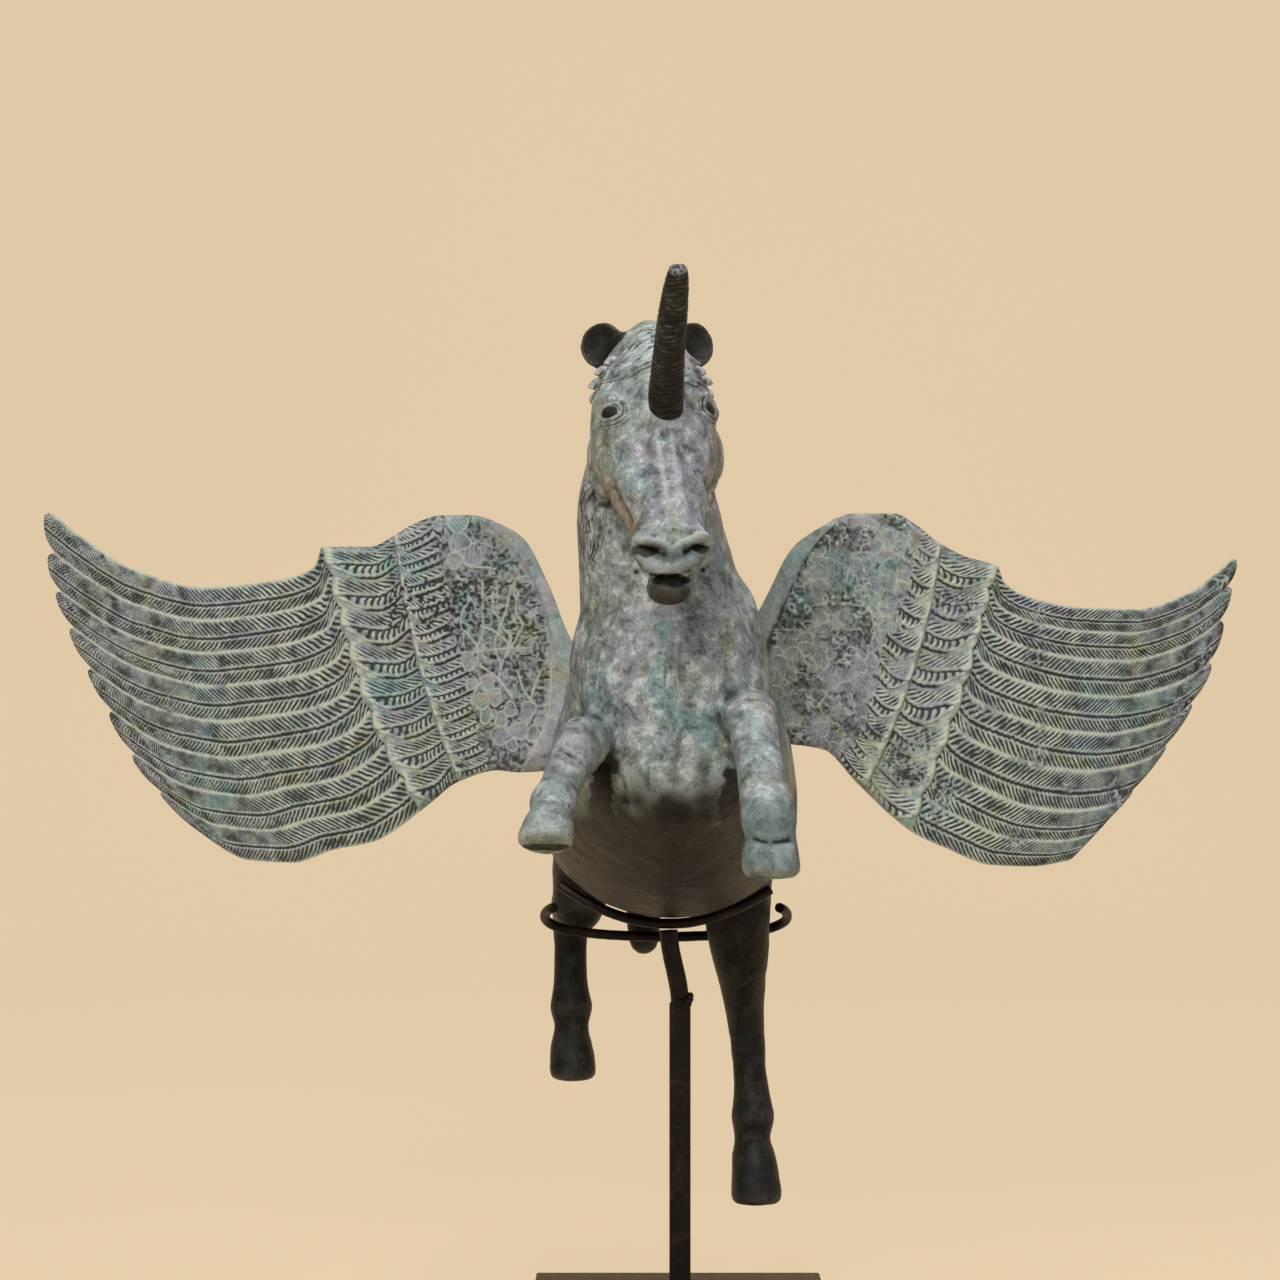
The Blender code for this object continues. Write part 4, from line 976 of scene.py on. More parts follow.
def press_marks(skin, marks, front):
    """Presses tool marks into the skin, front-view ones or ones given in space."""
    points, normals = read_points(skin), read_normals(skin)
    tree = BVHTree.FromObject(skin, bpy.context.evaluated_depsgraph_get()) if front else None
    for path, radius, depth in marks:
        route = on_skin(tree, path) if front else [np.array(place) * MM for place in path]
        pressed(points, normals, route, radius, depth)
    write_points(skin, points)


def handwork(skin):
    """The slight lumps of a hand-modelled wax."""
    points, normals = read_points(skin), read_normals(skin)
    lumps = 0.00035 * lattice(points, 0.011, 1) + 0.00016 * lattice(points, 0.0042, 2)
    pits = np.clip(lattice(points, 0.0021, 5) - 0.62, 0, 1) * 0.0009
    write_points(skin, points + normals * (lumps - pits)[:, None])


def build_skin():
    """Body, neck, head, legs, tail and mane as one skin, fused, tooled and thinned."""
    parts = [barrel("barrel", BARREL)]
    for index, rows in enumerate(LIMBS):
        parts.append(outward(limb(f"limb_{index}", rows, 56 if index < 2 else 32)))
    parts += [mass(f"mass_{index}", row) for index, row in enumerate(MASSES)]
    for index in range(MANE_LOCKS):
        parts.append(outward(limb(f"lock_{index}", lock_path(index), 24)))
    parts += [ear(f"ear_{index}", centre, turn) for index, (centre, turn) in enumerate(EARS)]
    skin = joined("unicorn_skin", parts)
    applied(skin, "REMESH", mode="VOXEL", voxel_size=sizes().skin_voxel)
    points = softened(read_points(skin), read_edges(skin), SKIN_ROUNDS)
    write_points(skin, points)
    press_marks(skin, FRONT_MARKS, True)
    press_marks(skin, MUZZLE_MARKS, True)
    press_marks(skin, LEG_MARKS, False)
    handwork(skin)
    points, edges, normals = read_points(skin), read_edges(skin), read_normals(skin)
    fine = np.einsum("ij,ij->i", points - softened(points, edges, FINE_ROUNDS), normals)
    broad = np.einsum("ij,ij->i", points - softened(points, edges, BROAD_ROUNDS), normals)
    hollow = 0.5 + 0.36 * np.tanh(fine / FINE_HEIGHT) + 0.16 * np.tanh(broad / BROAD_HEIGHT)
    memory = KDTree(len(points))
    for index, point in enumerate(points):
        memory.insert(point, index)
    memory.balance()
    triangles = len(skin.data.loops) - 2 * len(skin.data.polygons)
    applied(skin, "DECIMATE", ratio=min(1.0, sizes().skin_faces / triangles))
    kept = read_points(skin)
    nearest = np.array([memory.find(point)[1] for point in kept])
    store_finish(skin, hollow[nearest], dark_patina_and_shade(kept), stains(kept), tones(kept))
    return skin


# Wings

def wing_depth(x, z):
    """How far back the middle surface of a wing lies: swept towards the tip and leaning."""
    reach = np.maximum(np.abs(x - BODY_MIDDLE_X) - ROOT_HALF, 0.0) / WING_SPAN
    return WING_ROOT_Y + WING_SWEEP * reach**WING_SWEEP_POWER + WING_LEAN * (z - WING_MIDDLE_Z)


def wing_sheet(wing, bands, shares):
    """The middle surface of a wing, as a grid between its top edge, bottom edge and borders."""
    top = spline(wing["top"], bands) * MM
    bottom = spline(wing["bottom"], bands) * MM
    knots = np.arange(len(wing["borders"]), dtype=float)
    top_knots = spline(wing["top"], knots) * MM
    bottom_knots = spline(wing["bottom"], knots) * MM
    lines = []
    for index, border in enumerate(wing["borders"]):
        rows = [(0.0, *(top_knots[index] / MM)), *border, (1.0, *(bottom_knots[index] / MM))]
        lines.append(spline(rows, shares) * MM)
    lines = np.array(lines)
    place = np.clip(np.floor(bands).astype(int), 0, len(knots) - 2)
    part = (bands - place)[:, None, None]
    flat = lines[place] * (1 - part) + lines[place + 1] * part
    side = (bands - place)[:, None]
    top_bend = top - (top_knots[place] * (1 - side) + top_knots[place + 1] * side)
    bottom_bend = bottom - (bottom_knots[place] * (1 - side) + bottom_knots[place + 1] * side)
    share = shares[None, :, None]
    return flat + top_bend[:, None, :] * (1 - share) + bottom_bend[:, None, :] * share


def wing_half(bands, shares):
    """Half thickness of the plain wing: thin edges and a rolled leading edge at the root."""
    band, share = np.broadcast_arrays(bands, shares)
    from_side = np.minimum(share, 1 - share) / 0.0625
    from_tip = (LAST_BAND - band) / 0.167
    edge = np.sqrt(np.clip(np.minimum(from_side, from_tip), 0, 1))
    roll = np.clip((1.35 - band) / 0.8, 0, 1)
    half = WING_EDGE_HALF + (WING_HALF_THICKNESS - WING_EDGE_HALF) * edge
    return half + ROLL_BULGE * np.sin(roll * math.pi / 2) * edge


def plane_noise(first, second, level, spacing, seed):
    """Smooth noise over two grids of coordinates, on the plane at that level."""
    places = np.stack([first.ravel(), second.ravel(), np.full(first.size, level)], axis=1)
    return lattice(places, spacing, seed).reshape(first.shape)


def noise_on(x, z, spacing, seed):
    """Smooth noise over the face of a wing."""
    return plane_noise(x, z, seed * 0.01, spacing, seed)


def warp(along, across, seed):
    """Slow wander of hand-cut lines, from -1 to 1."""
    slow = plane_noise(along, across, seed * 0.1, 0.013, seed)
    quick = plane_noise(along, across, seed * 0.1, 0.0032, seed + 3)
    return 0.7 * slow + 0.5 * quick


def barbs(along, across, pitch, slope, seed):
    """Slanted ridges from 0 to 1 that leave a shaft on both sides, towards the tip, in metres."""
    phase = (along - np.abs(across) * slope - across**2 * 18) / pitch
    phase = phase + 0.42 * warp(along, across, seed) + np.where(across > 0, 0.37, 0.0)
    ridge = 0.5 + 0.5 * np.tanh(1.9 * (np.cos(2 * math.pi * phase) + 0.12))
    strength = 0.80 + 0.45 * plane_noise(along, across, seed * 0.3, 0.005, seed + 7)
    return np.clip(ridge * strength, 0, 1.05)


def line_ridge(distance, width):
    """A ridge of height 1 where the distance is 0, as wide as that to each side."""
    return np.exp(-((distance / width) ** 2))


def feather(along, across, half, pitch, slope, seed):
    """Relief from -1 to 1 over one feather: barbs, a dark shaft with thin rims and a raised border."""
    relief = barbs(along, across, pitch, slope, seed) * 1.75 - 1.0
    wander = 0.0004 * warp(along, across * 0, seed + 1)
    middle = np.abs(across + wander)
    shaft = line_ridge(middle, 0.0007)
    beside = line_ridge(middle - 0.0015, 0.0006)
    border = line_ridge(half - np.abs(across) + wander, 0.0011)
    relief = relief * (1 - np.maximum(np.maximum(beside, border), shaft))
    return relief + 0.55 * beside + 0.85 * border - 1.0 * shaft


def local_width(flat, count):
    """Half width of one of count strips at each grid point, in metres."""
    step = np.linalg.norm(np.diff(flat, axis=1), axis=2)
    length = step.sum(axis=1)
    return (length / count / 2)[:, None] * np.ones((1, flat.shape[1]))


def run_length(flat):
    """Distance along the bands direction at each grid point, in metres."""
    step = np.linalg.norm(np.diff(flat, axis=0), axis=2)
    return np.vstack([np.zeros((1, flat.shape[1])), np.cumsum(step, axis=0)])


def scatter(seed, count, low, high):
    """Repeatable points between two corners."""
    return np.random.default_rng(seed).uniform(low, high, (count, len(low)))


def scales(x, z, discs, seed):
    """Overlapping round scales with a raised rim and hatching, the later ones under the earlier."""
    relief = np.zeros_like(x)
    free = np.ones_like(x, dtype=bool)
    generator = np.random.default_rng(seed)
    for cx, cz, radius in discs:
        turn = generator.uniform(-0.9, 0.9)
        squash = generator.uniform(0.85, 1.2)
        gap = np.hypot((x - cx) * squash, (z - cz) / squash)
        gap = gap * (1 + 0.10 * np.sin(3 * np.arctan2(z - cz, x - cx) + turn * 5))
        inside = free & (gap < radius)
        if not inside.any():
            continue
        rim = line_ridge(radius - gap[inside] - 0.0006, 0.0006)
        along = (x[inside] - cx) * math.cos(turn) + (z[inside] - cz) * math.sin(turn)
        hatch = 0.5 + 0.5 * np.cos(2 * math.pi * along / generator.uniform(0.0015, 0.0023))
        wear = 0.75 + 0.35 * noise_on(x, z, 0.005, seed + 2)[inside]
        relief[inside] = (np.maximum(rim * 0.95, hatch * 0.9 - 0.5) - 0.25) * wear
        free[inside] = False
    return relief, free


def threads(x, z, paths):
    """Fine raised threads along the given paths."""
    relief = np.zeros_like(x)
    for path in paths:
        route = smooth_route(path, len(path) * 8) * MM
        low, high = route.min(axis=0) - 0.003, route.max(axis=0) + 0.003
        near = (x > low[0]) & (x < high[0]) & (z > low[1]) & (z < high[1])
        nearest = route_distance(np.stack([x[near], z[near]], axis=1), route)
        relief[near] = np.maximum(relief[near], line_ridge(nearest, 0.0005))
    return relief


def squiggles(x, z, spacing, seed):
    """Pale curling lines of worked wax."""
    field = noise_on(x, z, spacing, seed) + 0.5 * noise_on(x, z, spacing * 0.45, seed + 1)
    return line_ridge(field, 0.15)


def slashes(x, z, seed, count, low, high, tilt):
    """Short dark cuts in the wax."""
    relief = np.zeros_like(x)
    generator = np.random.default_rng(seed)
    for cx, cz in scatter(seed + 1, count, low, high):
        turn = tilt + generator.uniform(-0.35, 0.35)
        half = generator.uniform(0.0014, 0.0036)
        along = (x - cx) * math.cos(turn) + (z - cz) * math.sin(turn)
        across = (z - cz) * math.cos(turn) - (x - cx) * math.sin(turn)
        cut = line_ridge(across, 0.00042) * np.clip((half - np.abs(along)) / 0.0008, 0, 1)
        relief = np.maximum(relief, cut)
    return relief


def pores(x, z, seed, count, low, high):
    """Small round holes left by the casting."""
    relief = np.zeros_like(x)
    generator = np.random.default_rng(seed)
    for cx, cz in scatter(seed + 1, count, low, high):
        radius = generator.uniform(0.0004, 0.0011)
        relief = np.maximum(relief, line_ridge(np.hypot(x - cx, (z - cz) * 1.3), radius))
    return relief


def edge_fade(share):
    """From 1 on a wing's face down to a tenth at its top and bottom edges, where the relief dies out."""
    return np.clip(np.minimum(share, 1 - share) / 0.02, 0.1, 1)


def wing_shell(name, front, back, left, kept_back):
    """A closed shell of a dense front and a back that is thinned afterwards, each given as x, y and z."""
    front, back = np.stack(front, axis=2), np.stack(back, axis=2)
    columns, rows = front.shape[:2]
    points = np.concatenate([front.reshape(-1, 3), back.reshape(-1, 3)])
    offset = columns * rows
    index = np.arange(offset).reshape(columns, rows)
    quads = np.stack([index[:-1, :-1], index[1:, :-1], index[1:, 1:], index[:-1, 1:]], axis=2)
    quads = quads.reshape(-1, 4)
    faces = np.concatenate([quads, quads[:, ::-1] + offset])
    rim = np.concatenate([index[:, 0], index[-1, 1:], index[-2::-1, -1], index[0, -2:0:-1]])
    after = np.roll(rim, -1)
    faces = np.concatenate([faces, np.stack([after, rim, rim + offset, after + offset], axis=1)])
    if not left:
        faces = faces[:, ::-1]
    obj = add_mesh(name, points.tolist(), faces.tolist())
    write_points(obj, points)
    group = obj.vertex_groups.new(name="back")
    group.add(list(range(offset, 2 * offset)), 1.0, "REPLACE")
    total = 2 * len(faces)
    ratio = (total / 2 + kept_back) / total
    applied(obj, "DECIMATE", ratio=ratio, vertex_group="back")
    obj.vertex_groups.clear()
    return obj


def finish_wing(obj, x, z, relief, shade):
    """Stores the finish of a wing piece: its front by the relief, its back plain."""
    points = read_points(obj)
    memory = KDTree(x.size)
    flat_x, flat_z = x.ravel(), z.ravel()
    for index in range(x.size):
        memory.insert((flat_x[index], 0.0, flat_z[index]), index)
    memory.balance()
    nearest = np.array([memory.find((px, 0.0, pz))[1] for px, _, pz in points])
    front = points[:, 1] < wing_depth(points[:, 0], points[:, 2])
    hollow = np.where(front, 0.5 + 0.5 * relief.ravel()[nearest], 0.5)
    dark = np.where(front, shade.ravel()[nearest], 0.35)
    store_finish(obj, hollow, dark, stains(points))
    return obj


def build_long_feathers(name, wing, left):
    """The long feathers of a wing, from under the coverts to the tips."""
    columns, rows = LONG_GRID
    bands = np.linspace(LONG_FIRST_BAND, LAST_BAND, columns)
    shares = np.linspace(0, 1, rows)
    flat = wing_sheet(wing, bands, shares)
    band, share = np.meshgrid(bands, shares, indexing="ij")
    count = sizes().long_feathers
    position = share * count
    own = np.clip(np.floor(position), 0, count - 1)
    place = 2 * (position - own) - 1
    along = run_length(flat)
    half = local_width(flat, count)
    across = (place - 0.12 * (1 - place**2)) * half
    pitch = sizes().barb_pitch * (1.02 - 0.40 * np.clip(band - 4, 0, 1))
    first_seed = 11 if left else 31
    relief = np.zeros_like(band)
    for index in range(count):
        own_pitch = pitch * (1 + 0.06 * math.sin(index * 2.1))
        value = feather(along + 0.0007 * index, across, half, own_pitch, 0.9, first_seed + index)
        relief = np.where(own == index, value, relief)
    x, z = flat[:, :, 0], flat[:, :, 1]
    worn = np.clip(noise_on(x, z, 0.014, 41) * 2.6 - (1.5 if left else 0.75), 0, 1)
    rough = squiggles(x, z, 0.0034, 43) * 1.3 - 0.55
    relief = relief * (1 - 0.75 * worn) + rough * 0.75 * worn + 0.24 * noise_on(x, z, 0.0016, 45)
    at_tips = np.clip((band - 4.80) / 0.20, 0, 1)
    flat = flat - np.gradient(flat, bands, axis=0) * (0.030 * np.abs(place) ** 3 * at_tips)[:, :, None]
    x, z = flat[:, :, 0], flat[:, :, 1]
    y = wing_depth(x, z)
    half_plate = wing_half(bands[:, None], shares[None, :])
    ridge = (1 - np.abs(place) ** 2.5) * FEATHER_RIDGE
    rim = edge_fade(share) * np.clip((LAST_BAND - band) / 0.03, 0.15, 1)
    tuck = np.clip((LONG_FIRST_BAND + 0.09 - band) / 0.09, 0, 1)
    y_front = y - (half_plate + (ridge + relief * sizes().barb_height / 2) * rim) * (1 - tuck)
    y_back = y + (half_plate + ridge * 0.4 * rim) * (1 - tuck) + 0.0002
    obj = wing_shell(name, (x, y_front, z), (x, y_back, z), left, LONG_BACK_FACES)
    return finish_wing(obj, x, z, relief, 0.06 + 0.10 * worn)


def covert_row(x, z, band, share, side_length, row, seed):
    """Height and relief of one row of coverts, and where the row lies."""
    border, inner, count, scallop = row
    run = np.clip((border - band) / (border - inner), 0, 1)
    position = share * count - 0.16 * np.sin(math.pi * run) + 0.10 * noise_on(x, z, 0.018, seed)
    own = np.clip(np.floor(position), 0, count - 1)
    place = 2 * (position - own) - 1
    edge = border - scallop * np.clip((place + 0.35) / 1.35, 0, 1) ** 2.2
    mine = (band < edge) & (band > inner)
    half = np.full_like(band, side_length / count / 2)
    from_tip = (edge - band) * BAND_LENGTH
    from_shaft = place * half - 0.1 * half
    value = barbs(-from_tip + own * 0.0011, from_shaft, sizes().barb_pitch * 0.76, 1.0, seed)
    value = value * 1.5 - 0.75
    shaft = line_ridge(from_shaft, 0.0006)
    above = line_ridge(from_shaft + 0.0014, 0.0008)
    # The gap under each covert's lower edge is sunk in the relief, which also paints it dark as a painted
    # shadow of that edge.
    gap = line_ridge((1 - place) * half, 0.0013)
    lip = line_ridge((1 - place) * half - 0.0021, 0.0009)
    top_lip = line_ridge((place + 1) * half - 0.0009, 0.0009)
    end = line_ridge(from_tip - 0.0008, 0.0010)
    lines = np.maximum.reduce([shaft, above, gap, lip, top_lip, end])
    value = value * (1 - lines)
    value += 0.50 * above + 0.55 * lip + 0.2 * top_lip + 0.6 * end - 0.9 * shaft - 1.3 * gap
    shingle = 0.0009 * (place + 1) / 2 * mine
    cord = (band >= edge) & (band < border + 0.02)
    swell = line_ridge((band - border + 0.05) * BAND_LENGTH, 0.0016)
    return mine, cord, value, shingle, swell


def covert_relief(flat, band, share, left):
    """Height steps and carved relief of the two rows of coverts."""
    x, z = flat[:, :, 0], flat[:, :, 1]
    side_length = np.linalg.norm(np.diff(flat, axis=1), axis=2).sum(axis=1).mean()
    height = np.zeros_like(band)
    relief = 1.3 * squiggles(x, z, 0.0042, 51) - 0.50 + 0.25 * noise_on(x, z, 0.0013, 52)
    crumbly = np.clip(noise_on(x, z, 0.012, 57) * 2.0 - 0.35, 0, 1)
    holes = np.clip(noise_on(x, z, 0.0021, 59) - 0.45, 0, 1)
    crumbs = 1.3 * squiggles(x, z, 0.0026, 58) - 0.6 - 1.2 * holes
    for number, row in enumerate(LEFT_COVERTS if left else RIGHT_COVERTS):
        seed = 61 + number * 5 + (0 if left else 20)
        mine, cord, value, shingle, swell = covert_row(x, z, band, share, side_length, row, seed)
        step = np.clip((row[0] + 0.02 - band) * 40, 0, 1)
        height += COVERT_STEP * step * np.clip(1 - (row[0] - band) * 0.8, 0.25, 1) + shingle
        faded = 1 - (0.0 if left else 0.55) * np.clip(noise_on(x, z, 0.015, 71) * 2 + 0.2, 0, 1)
        value = value * faded * (1 - 0.7 * crumbly) + crumbs * 0.8 * crumbly
        relief = np.where(mine, value + 0.28 * noise_on(x, z, 0.0015, 53), relief)
        relief = np.where(cord, 0.35 + 0.35 * noise_on(x, z, 0.003, 54), relief)
        relief = relief + 0.5 * swell * (1 - cord)
        height += 0.0008 * swell
    return height, relief


def right_discs():
    """Centres and radii of the right wing's scales, in staggered lines that wander a little."""
    generator = np.random.default_rng(23)
    first_x, first_z = SCALE_START
    low, high = -SCALE_WANDER, SCALE_WANDER
    return [
        (first_x + SCALE_STEP * line + generator.uniform(low, high),
         first_z + SCALE_STEP * (spot + 0.5 * (line % 2)) + generator.uniform(low, high),
         generator.uniform(*SCALE_RADII))
        for line in range(SCALE_LINES) for spot in range(SCALE_SPOTS)
    ]


def build_coverts(name, wing, left):
    """The shoulder of a wing: rolled edge, plain or scaly ground and two rows of coverts."""
    columns, rows = COVERT_GRID
    arm = LEFT_ARM if left else RIGHT_ARM
    bands = np.concatenate([
        np.linspace(0, arm, ARM_STEPS, endpoint=False),
        np.linspace(arm, COVERT_LAST_BAND, columns - ARM_STEPS),
    ])
    shares = np.linspace(0, 1, rows)
    flat = wing_sheet(wing, bands, shares)
    band, share = np.meshgrid(bands, shares, indexing="ij")
    place = 2 * ((share * 8) % 1.0) - 1
    inner_part = np.clip(share * 14, 0, 1) * np.clip((1 - share) * 14, 0, 1)
    pull = 0.05 * np.abs(place) ** 2 * np.clip((band - 3.4) / 0.6, 0, 1) ** 2 * inner_part
    flat = flat - np.gradient(flat, bands, axis=0) * pull[:, :, None]
    x, z = flat[:, :, 0], flat[:, :, 1]
    height, relief = covert_relief(flat, band, share, left)
    inner = (LEFT_INNER if left else RIGHT_INNER) + 0.16 * noise_on(x, z, 0.010, 91)
    ground = (band < inner) & (band > arm)
    shade = np.full_like(band, 0.12)
    if left:
        net = threads(x, z, LEFT_THREADS)
        cuts = slashes(x, z, 8, 90, (-0.118, 0.325), (-0.066, 0.425), 0.25)
        wrinkles = 0.75 * squiggles(x, z, 0.0050, 55) - 0.25 + 0.30 * noise_on(x, z, 0.0014, 56)
        lines = np.minimum(wrinkles, 0.45) - 0.06 - cuts * 1.0
        lines = np.where(net > 0.15, np.maximum(lines, 0.80 * net - 0.10), lines)
        relief = np.where(ground, lines, relief)
        discs, free = scales(x, z, np.array(LEFT_DISCS) * MM, 17)
        relief = np.where(~free & (band < 2.5), discs, relief)
        holes = pores(x, z, 21, 170, (-0.158, 0.378), (-0.106, 0.406))
        relief = relief * (1 - 0.6 * np.clip(holes, 0, 1)) - 1.6 * holes
        shade = shade + 0.25 * holes
    else:
        value, free = scales(x, z, right_discs(), 29)
        curls = 1.1 * squiggles(x, z, 0.0046, 81) - 0.38 + 0.3 * noise_on(x, z, 0.0014, 82)
        bare = np.clip(noise_on(x, z, 0.012, 83) * 2 - 0.6, 0, 1)
        curls = curls * (1 - 0.7 * bare) - 0.08 * bare
        relief = np.where(ground, curls, relief)
        kept = np.clip(noise_on(x, z, 0.011, 84) * 2.4 + 0.45, 0, 1)
        relief = np.where(ground & ~free, value * kept + curls * (1 - kept), relief)
    smooth = np.clip((arm + 0.08 + 0.05 * noise_on(x, z, 0.006, 85) - band) / 0.10, 0, 1)
    relief = relief * (1 - smooth) + smooth * 0.10 * noise_on(x, z, 0.006, 56)
    inner_edge = line_ridge((band - arm) * 0.020, 0.0011) * np.clip(share * 12, 0, 1)
    relief = relief + (0.6 if left else -0.4) * inner_edge
    y = wing_depth(x, z)
    half_plate = wing_half(bands[:, None], shares[None, :])
    carved = (height + relief * sizes().barb_height / 2) * edge_fade(share)
    tuck = np.clip((bands - 4.0) / 0.02, 0, 1)[:, None]
    y_front = y - (half_plate + carved) * (1 - tuck)
    y_back = y + half_plate * (1 - tuck) + 0.0003
    obj = wing_shell(name, (x, y_front, z), (x, y_back, z), left, COVERT_BACK_FACES)
    return finish_wing(obj, x, z, relief, shade)


# Horn, eyes and hair

def build_horn():
    """A tapered horn with fine rings, blunt and broken at the tip."""
    base, tip = np.array(HORN_BASE) * MM, np.array(HORN_TIP) * MM
    axis = (tip - base) / np.linalg.norm(tip - base)
    side = np.cross(axis, (0, 0, 1.0))
    side /= np.linalg.norm(side)
    lift = np.cross(side, axis)
    sides, rings = 72, 420
    places = np.linspace(0, 1, rings)
    shape = spline(HORN_TAPER, places)[:, 0]
    turns = np.linspace(0, 2 * math.pi, sides, endpoint=False)
    place, turn = np.meshgrid(places, turns, indexing="ij")
    spots = np.stack([place.ravel() * 3, np.cos(turn).ravel() * 0.12, np.sin(turn).ravel() * 0.12], axis=1)
    wander = lattice(spots, 0.16, 6).reshape(place.shape)
    phase = place * sizes().horn_rings + 0.45 * np.cos(turn) + 0.95 * wander
    rings_shape = np.abs((phase % 1.0) * 2 - 1) ** 1.5
    fade = np.clip((0.97 - place) / 0.03, 0, 1)
    chips = lattice(spots * 2.2, 0.06, 8).reshape(place.shape)
    radius = HORN_RADIUS * shape[:, None] * (1 + 0.012 * wander) + (rings_shape - 0.5) * 0.00030 * fade
    radius = radius + 0.0002 * chips
    broken = 0.0006 * lattice(spots, 0.03, 12).reshape(place.shape)
    blunt = np.clip((place - 0.965) / 0.035, 0, 1) * broken
    bend = side * HORN_BEND * np.sin(place * math.pi)[:, :, None]
    centre = base + (tip - base) * place[:, :, None] + bend
    outwards = side * np.cos(turn)[:, :, None] + lift * np.sin(turn)[:, :, None]
    points = centre + outwards * radius[:, :, None] + axis * blunt[:, :, None]
    obj = outward(add_mesh("unicorn_horn", points.reshape(-1, 3).tolist(), stack_faces(rings, sides)))
    write_points(obj, read_points(obj))
    count = len(obj.data.vertices)
    hollow = np.full(count, 0.5)
    values = (rings_shape * 0.45 + 0.30 + 0.38 * chips + 0.25 * wander).ravel()
    known = min(count, values.size)
    hollow[:known] = values[:known]
    dark = np.full(count, 0.95)
    tip_pale = np.clip((place.ravel() - 0.93) / 0.05, 0, 1)
    dark[:known] -= 0.5 * tip_pale[:known]
    store_finish(obj, hollow, dark, np.zeros(count))
    return obj


def tube(name, route, radii, sides=10):
    """A round tube along a route of points, closed at both ends."""
    route = np.array(route, float)
    count = len(route)
    heading = np.gradient(route, axis=0)
    heading /= np.maximum(np.linalg.norm(heading, axis=1), 1e-9)[:, None]
    normal = np.cross(heading, (0.31, 0.95, 0.05))
    normal /= np.maximum(np.linalg.norm(normal, axis=1), 1e-9)[:, None]
    other = np.cross(heading, normal)
    points = []
    for place, first, second, radius in zip(route, normal, other, radii):
        for turn in np.linspace(0, 2 * math.pi, sides, endpoint=False):
            points.append(tuple(place + (first * math.cos(turn) + second * math.sin(turn)) * radius))
    return add_mesh(name, points, stack_faces(count, sides))


def smooth_route(points, count):
    """A smooth curve through the points, as that many places."""
    keyed = [(index, *point) for index, point in enumerate(points)]
    return spline(keyed, np.linspace(0, len(points) - 1, count))


def strand_radii(width, count, loss, power=1.0):
    """Radii along a strand that thins towards its end, with both ends closed in."""
    radii = width * (1 - loss * np.linspace(0, 1, count) ** power)
    radii[0] *= 0.4
    radii[-1] *= 0.3
    return radii


def strand_bundle(name, tree, path, width, sink, seed):
    """A lock of four fine strands that lie side by side on the skin and taper to the end."""
    generator = np.random.default_rng(seed)
    flat = smooth_route(path, 26)
    heading = np.gradient(flat, axis=0)
    heading /= np.linalg.norm(heading, axis=1)[:, None]
    beside = np.stack([-heading[:, 1], heading[:, 0]], axis=1)
    share = np.linspace(0, 1, len(flat))
    pieces = []
    for number, offset in enumerate(STRAND_OFFSETS):
        wave = 0.25 * np.sin(share * 9 + generator.uniform(0, 6))
        spread = (offset + wave) * width * (1 - 0.55 * share)
        line = flat + beside * spread[:, None]
        placed = []
        for x, z in line:
            hit, normal = front_hit(tree, x, z)
            if hit is None or normal.y > -0.12:
                continue
            placed.append(np.array(hit) - np.array(normal) * sink)
        if len(placed) < 4:
            continue
        radii = strand_radii(width * MM * 0.52, len(placed), 0.65, 1.5)
        pieces.append(tube(f"{name}_{number}", softened_route(placed), radii))
    return pieces


def softened_route(points):
    """The route after three rounds of averaging, with its ends kept."""
    points = np.array(points)
    for _ in range(3):
        points[1:-1] = 0.25 * points[:-2] + 0.5 * points[1:-1] + 0.25 * points[2:]
    return points


def curl(name, tree, x, z, radius, way):
    """One curl of the forelock: a strand that winds in and rises out of the skin."""
    hit, normal, _, _ = tree.find_nearest(Vector((x * MM, CURL_FRONT, z * MM)))
    facing = (Vector(normal) + Vector((0, -0.8, 0))).normalized()
    side, lift = upright_axes(facing)
    turns = np.linspace(0, CURL_TURNS * 2 * math.pi, CURL_POINTS)
    reach = radius * MM * np.linspace(1.0, 0.2, CURL_POINTS)
    route = [
        Vector(hit) + (side * math.cos(turn) * way + lift * math.sin(turn)) * size
        - facing * (0.0010 - 0.0008 * step / CURL_POINTS)
        for step, (turn, size) in enumerate(zip(turns, reach))
    ]
    radii = np.linspace(0.54, 0.34, CURL_POINTS) * radius * MM
    return tube(name, [tuple(place) for place in route], radii)


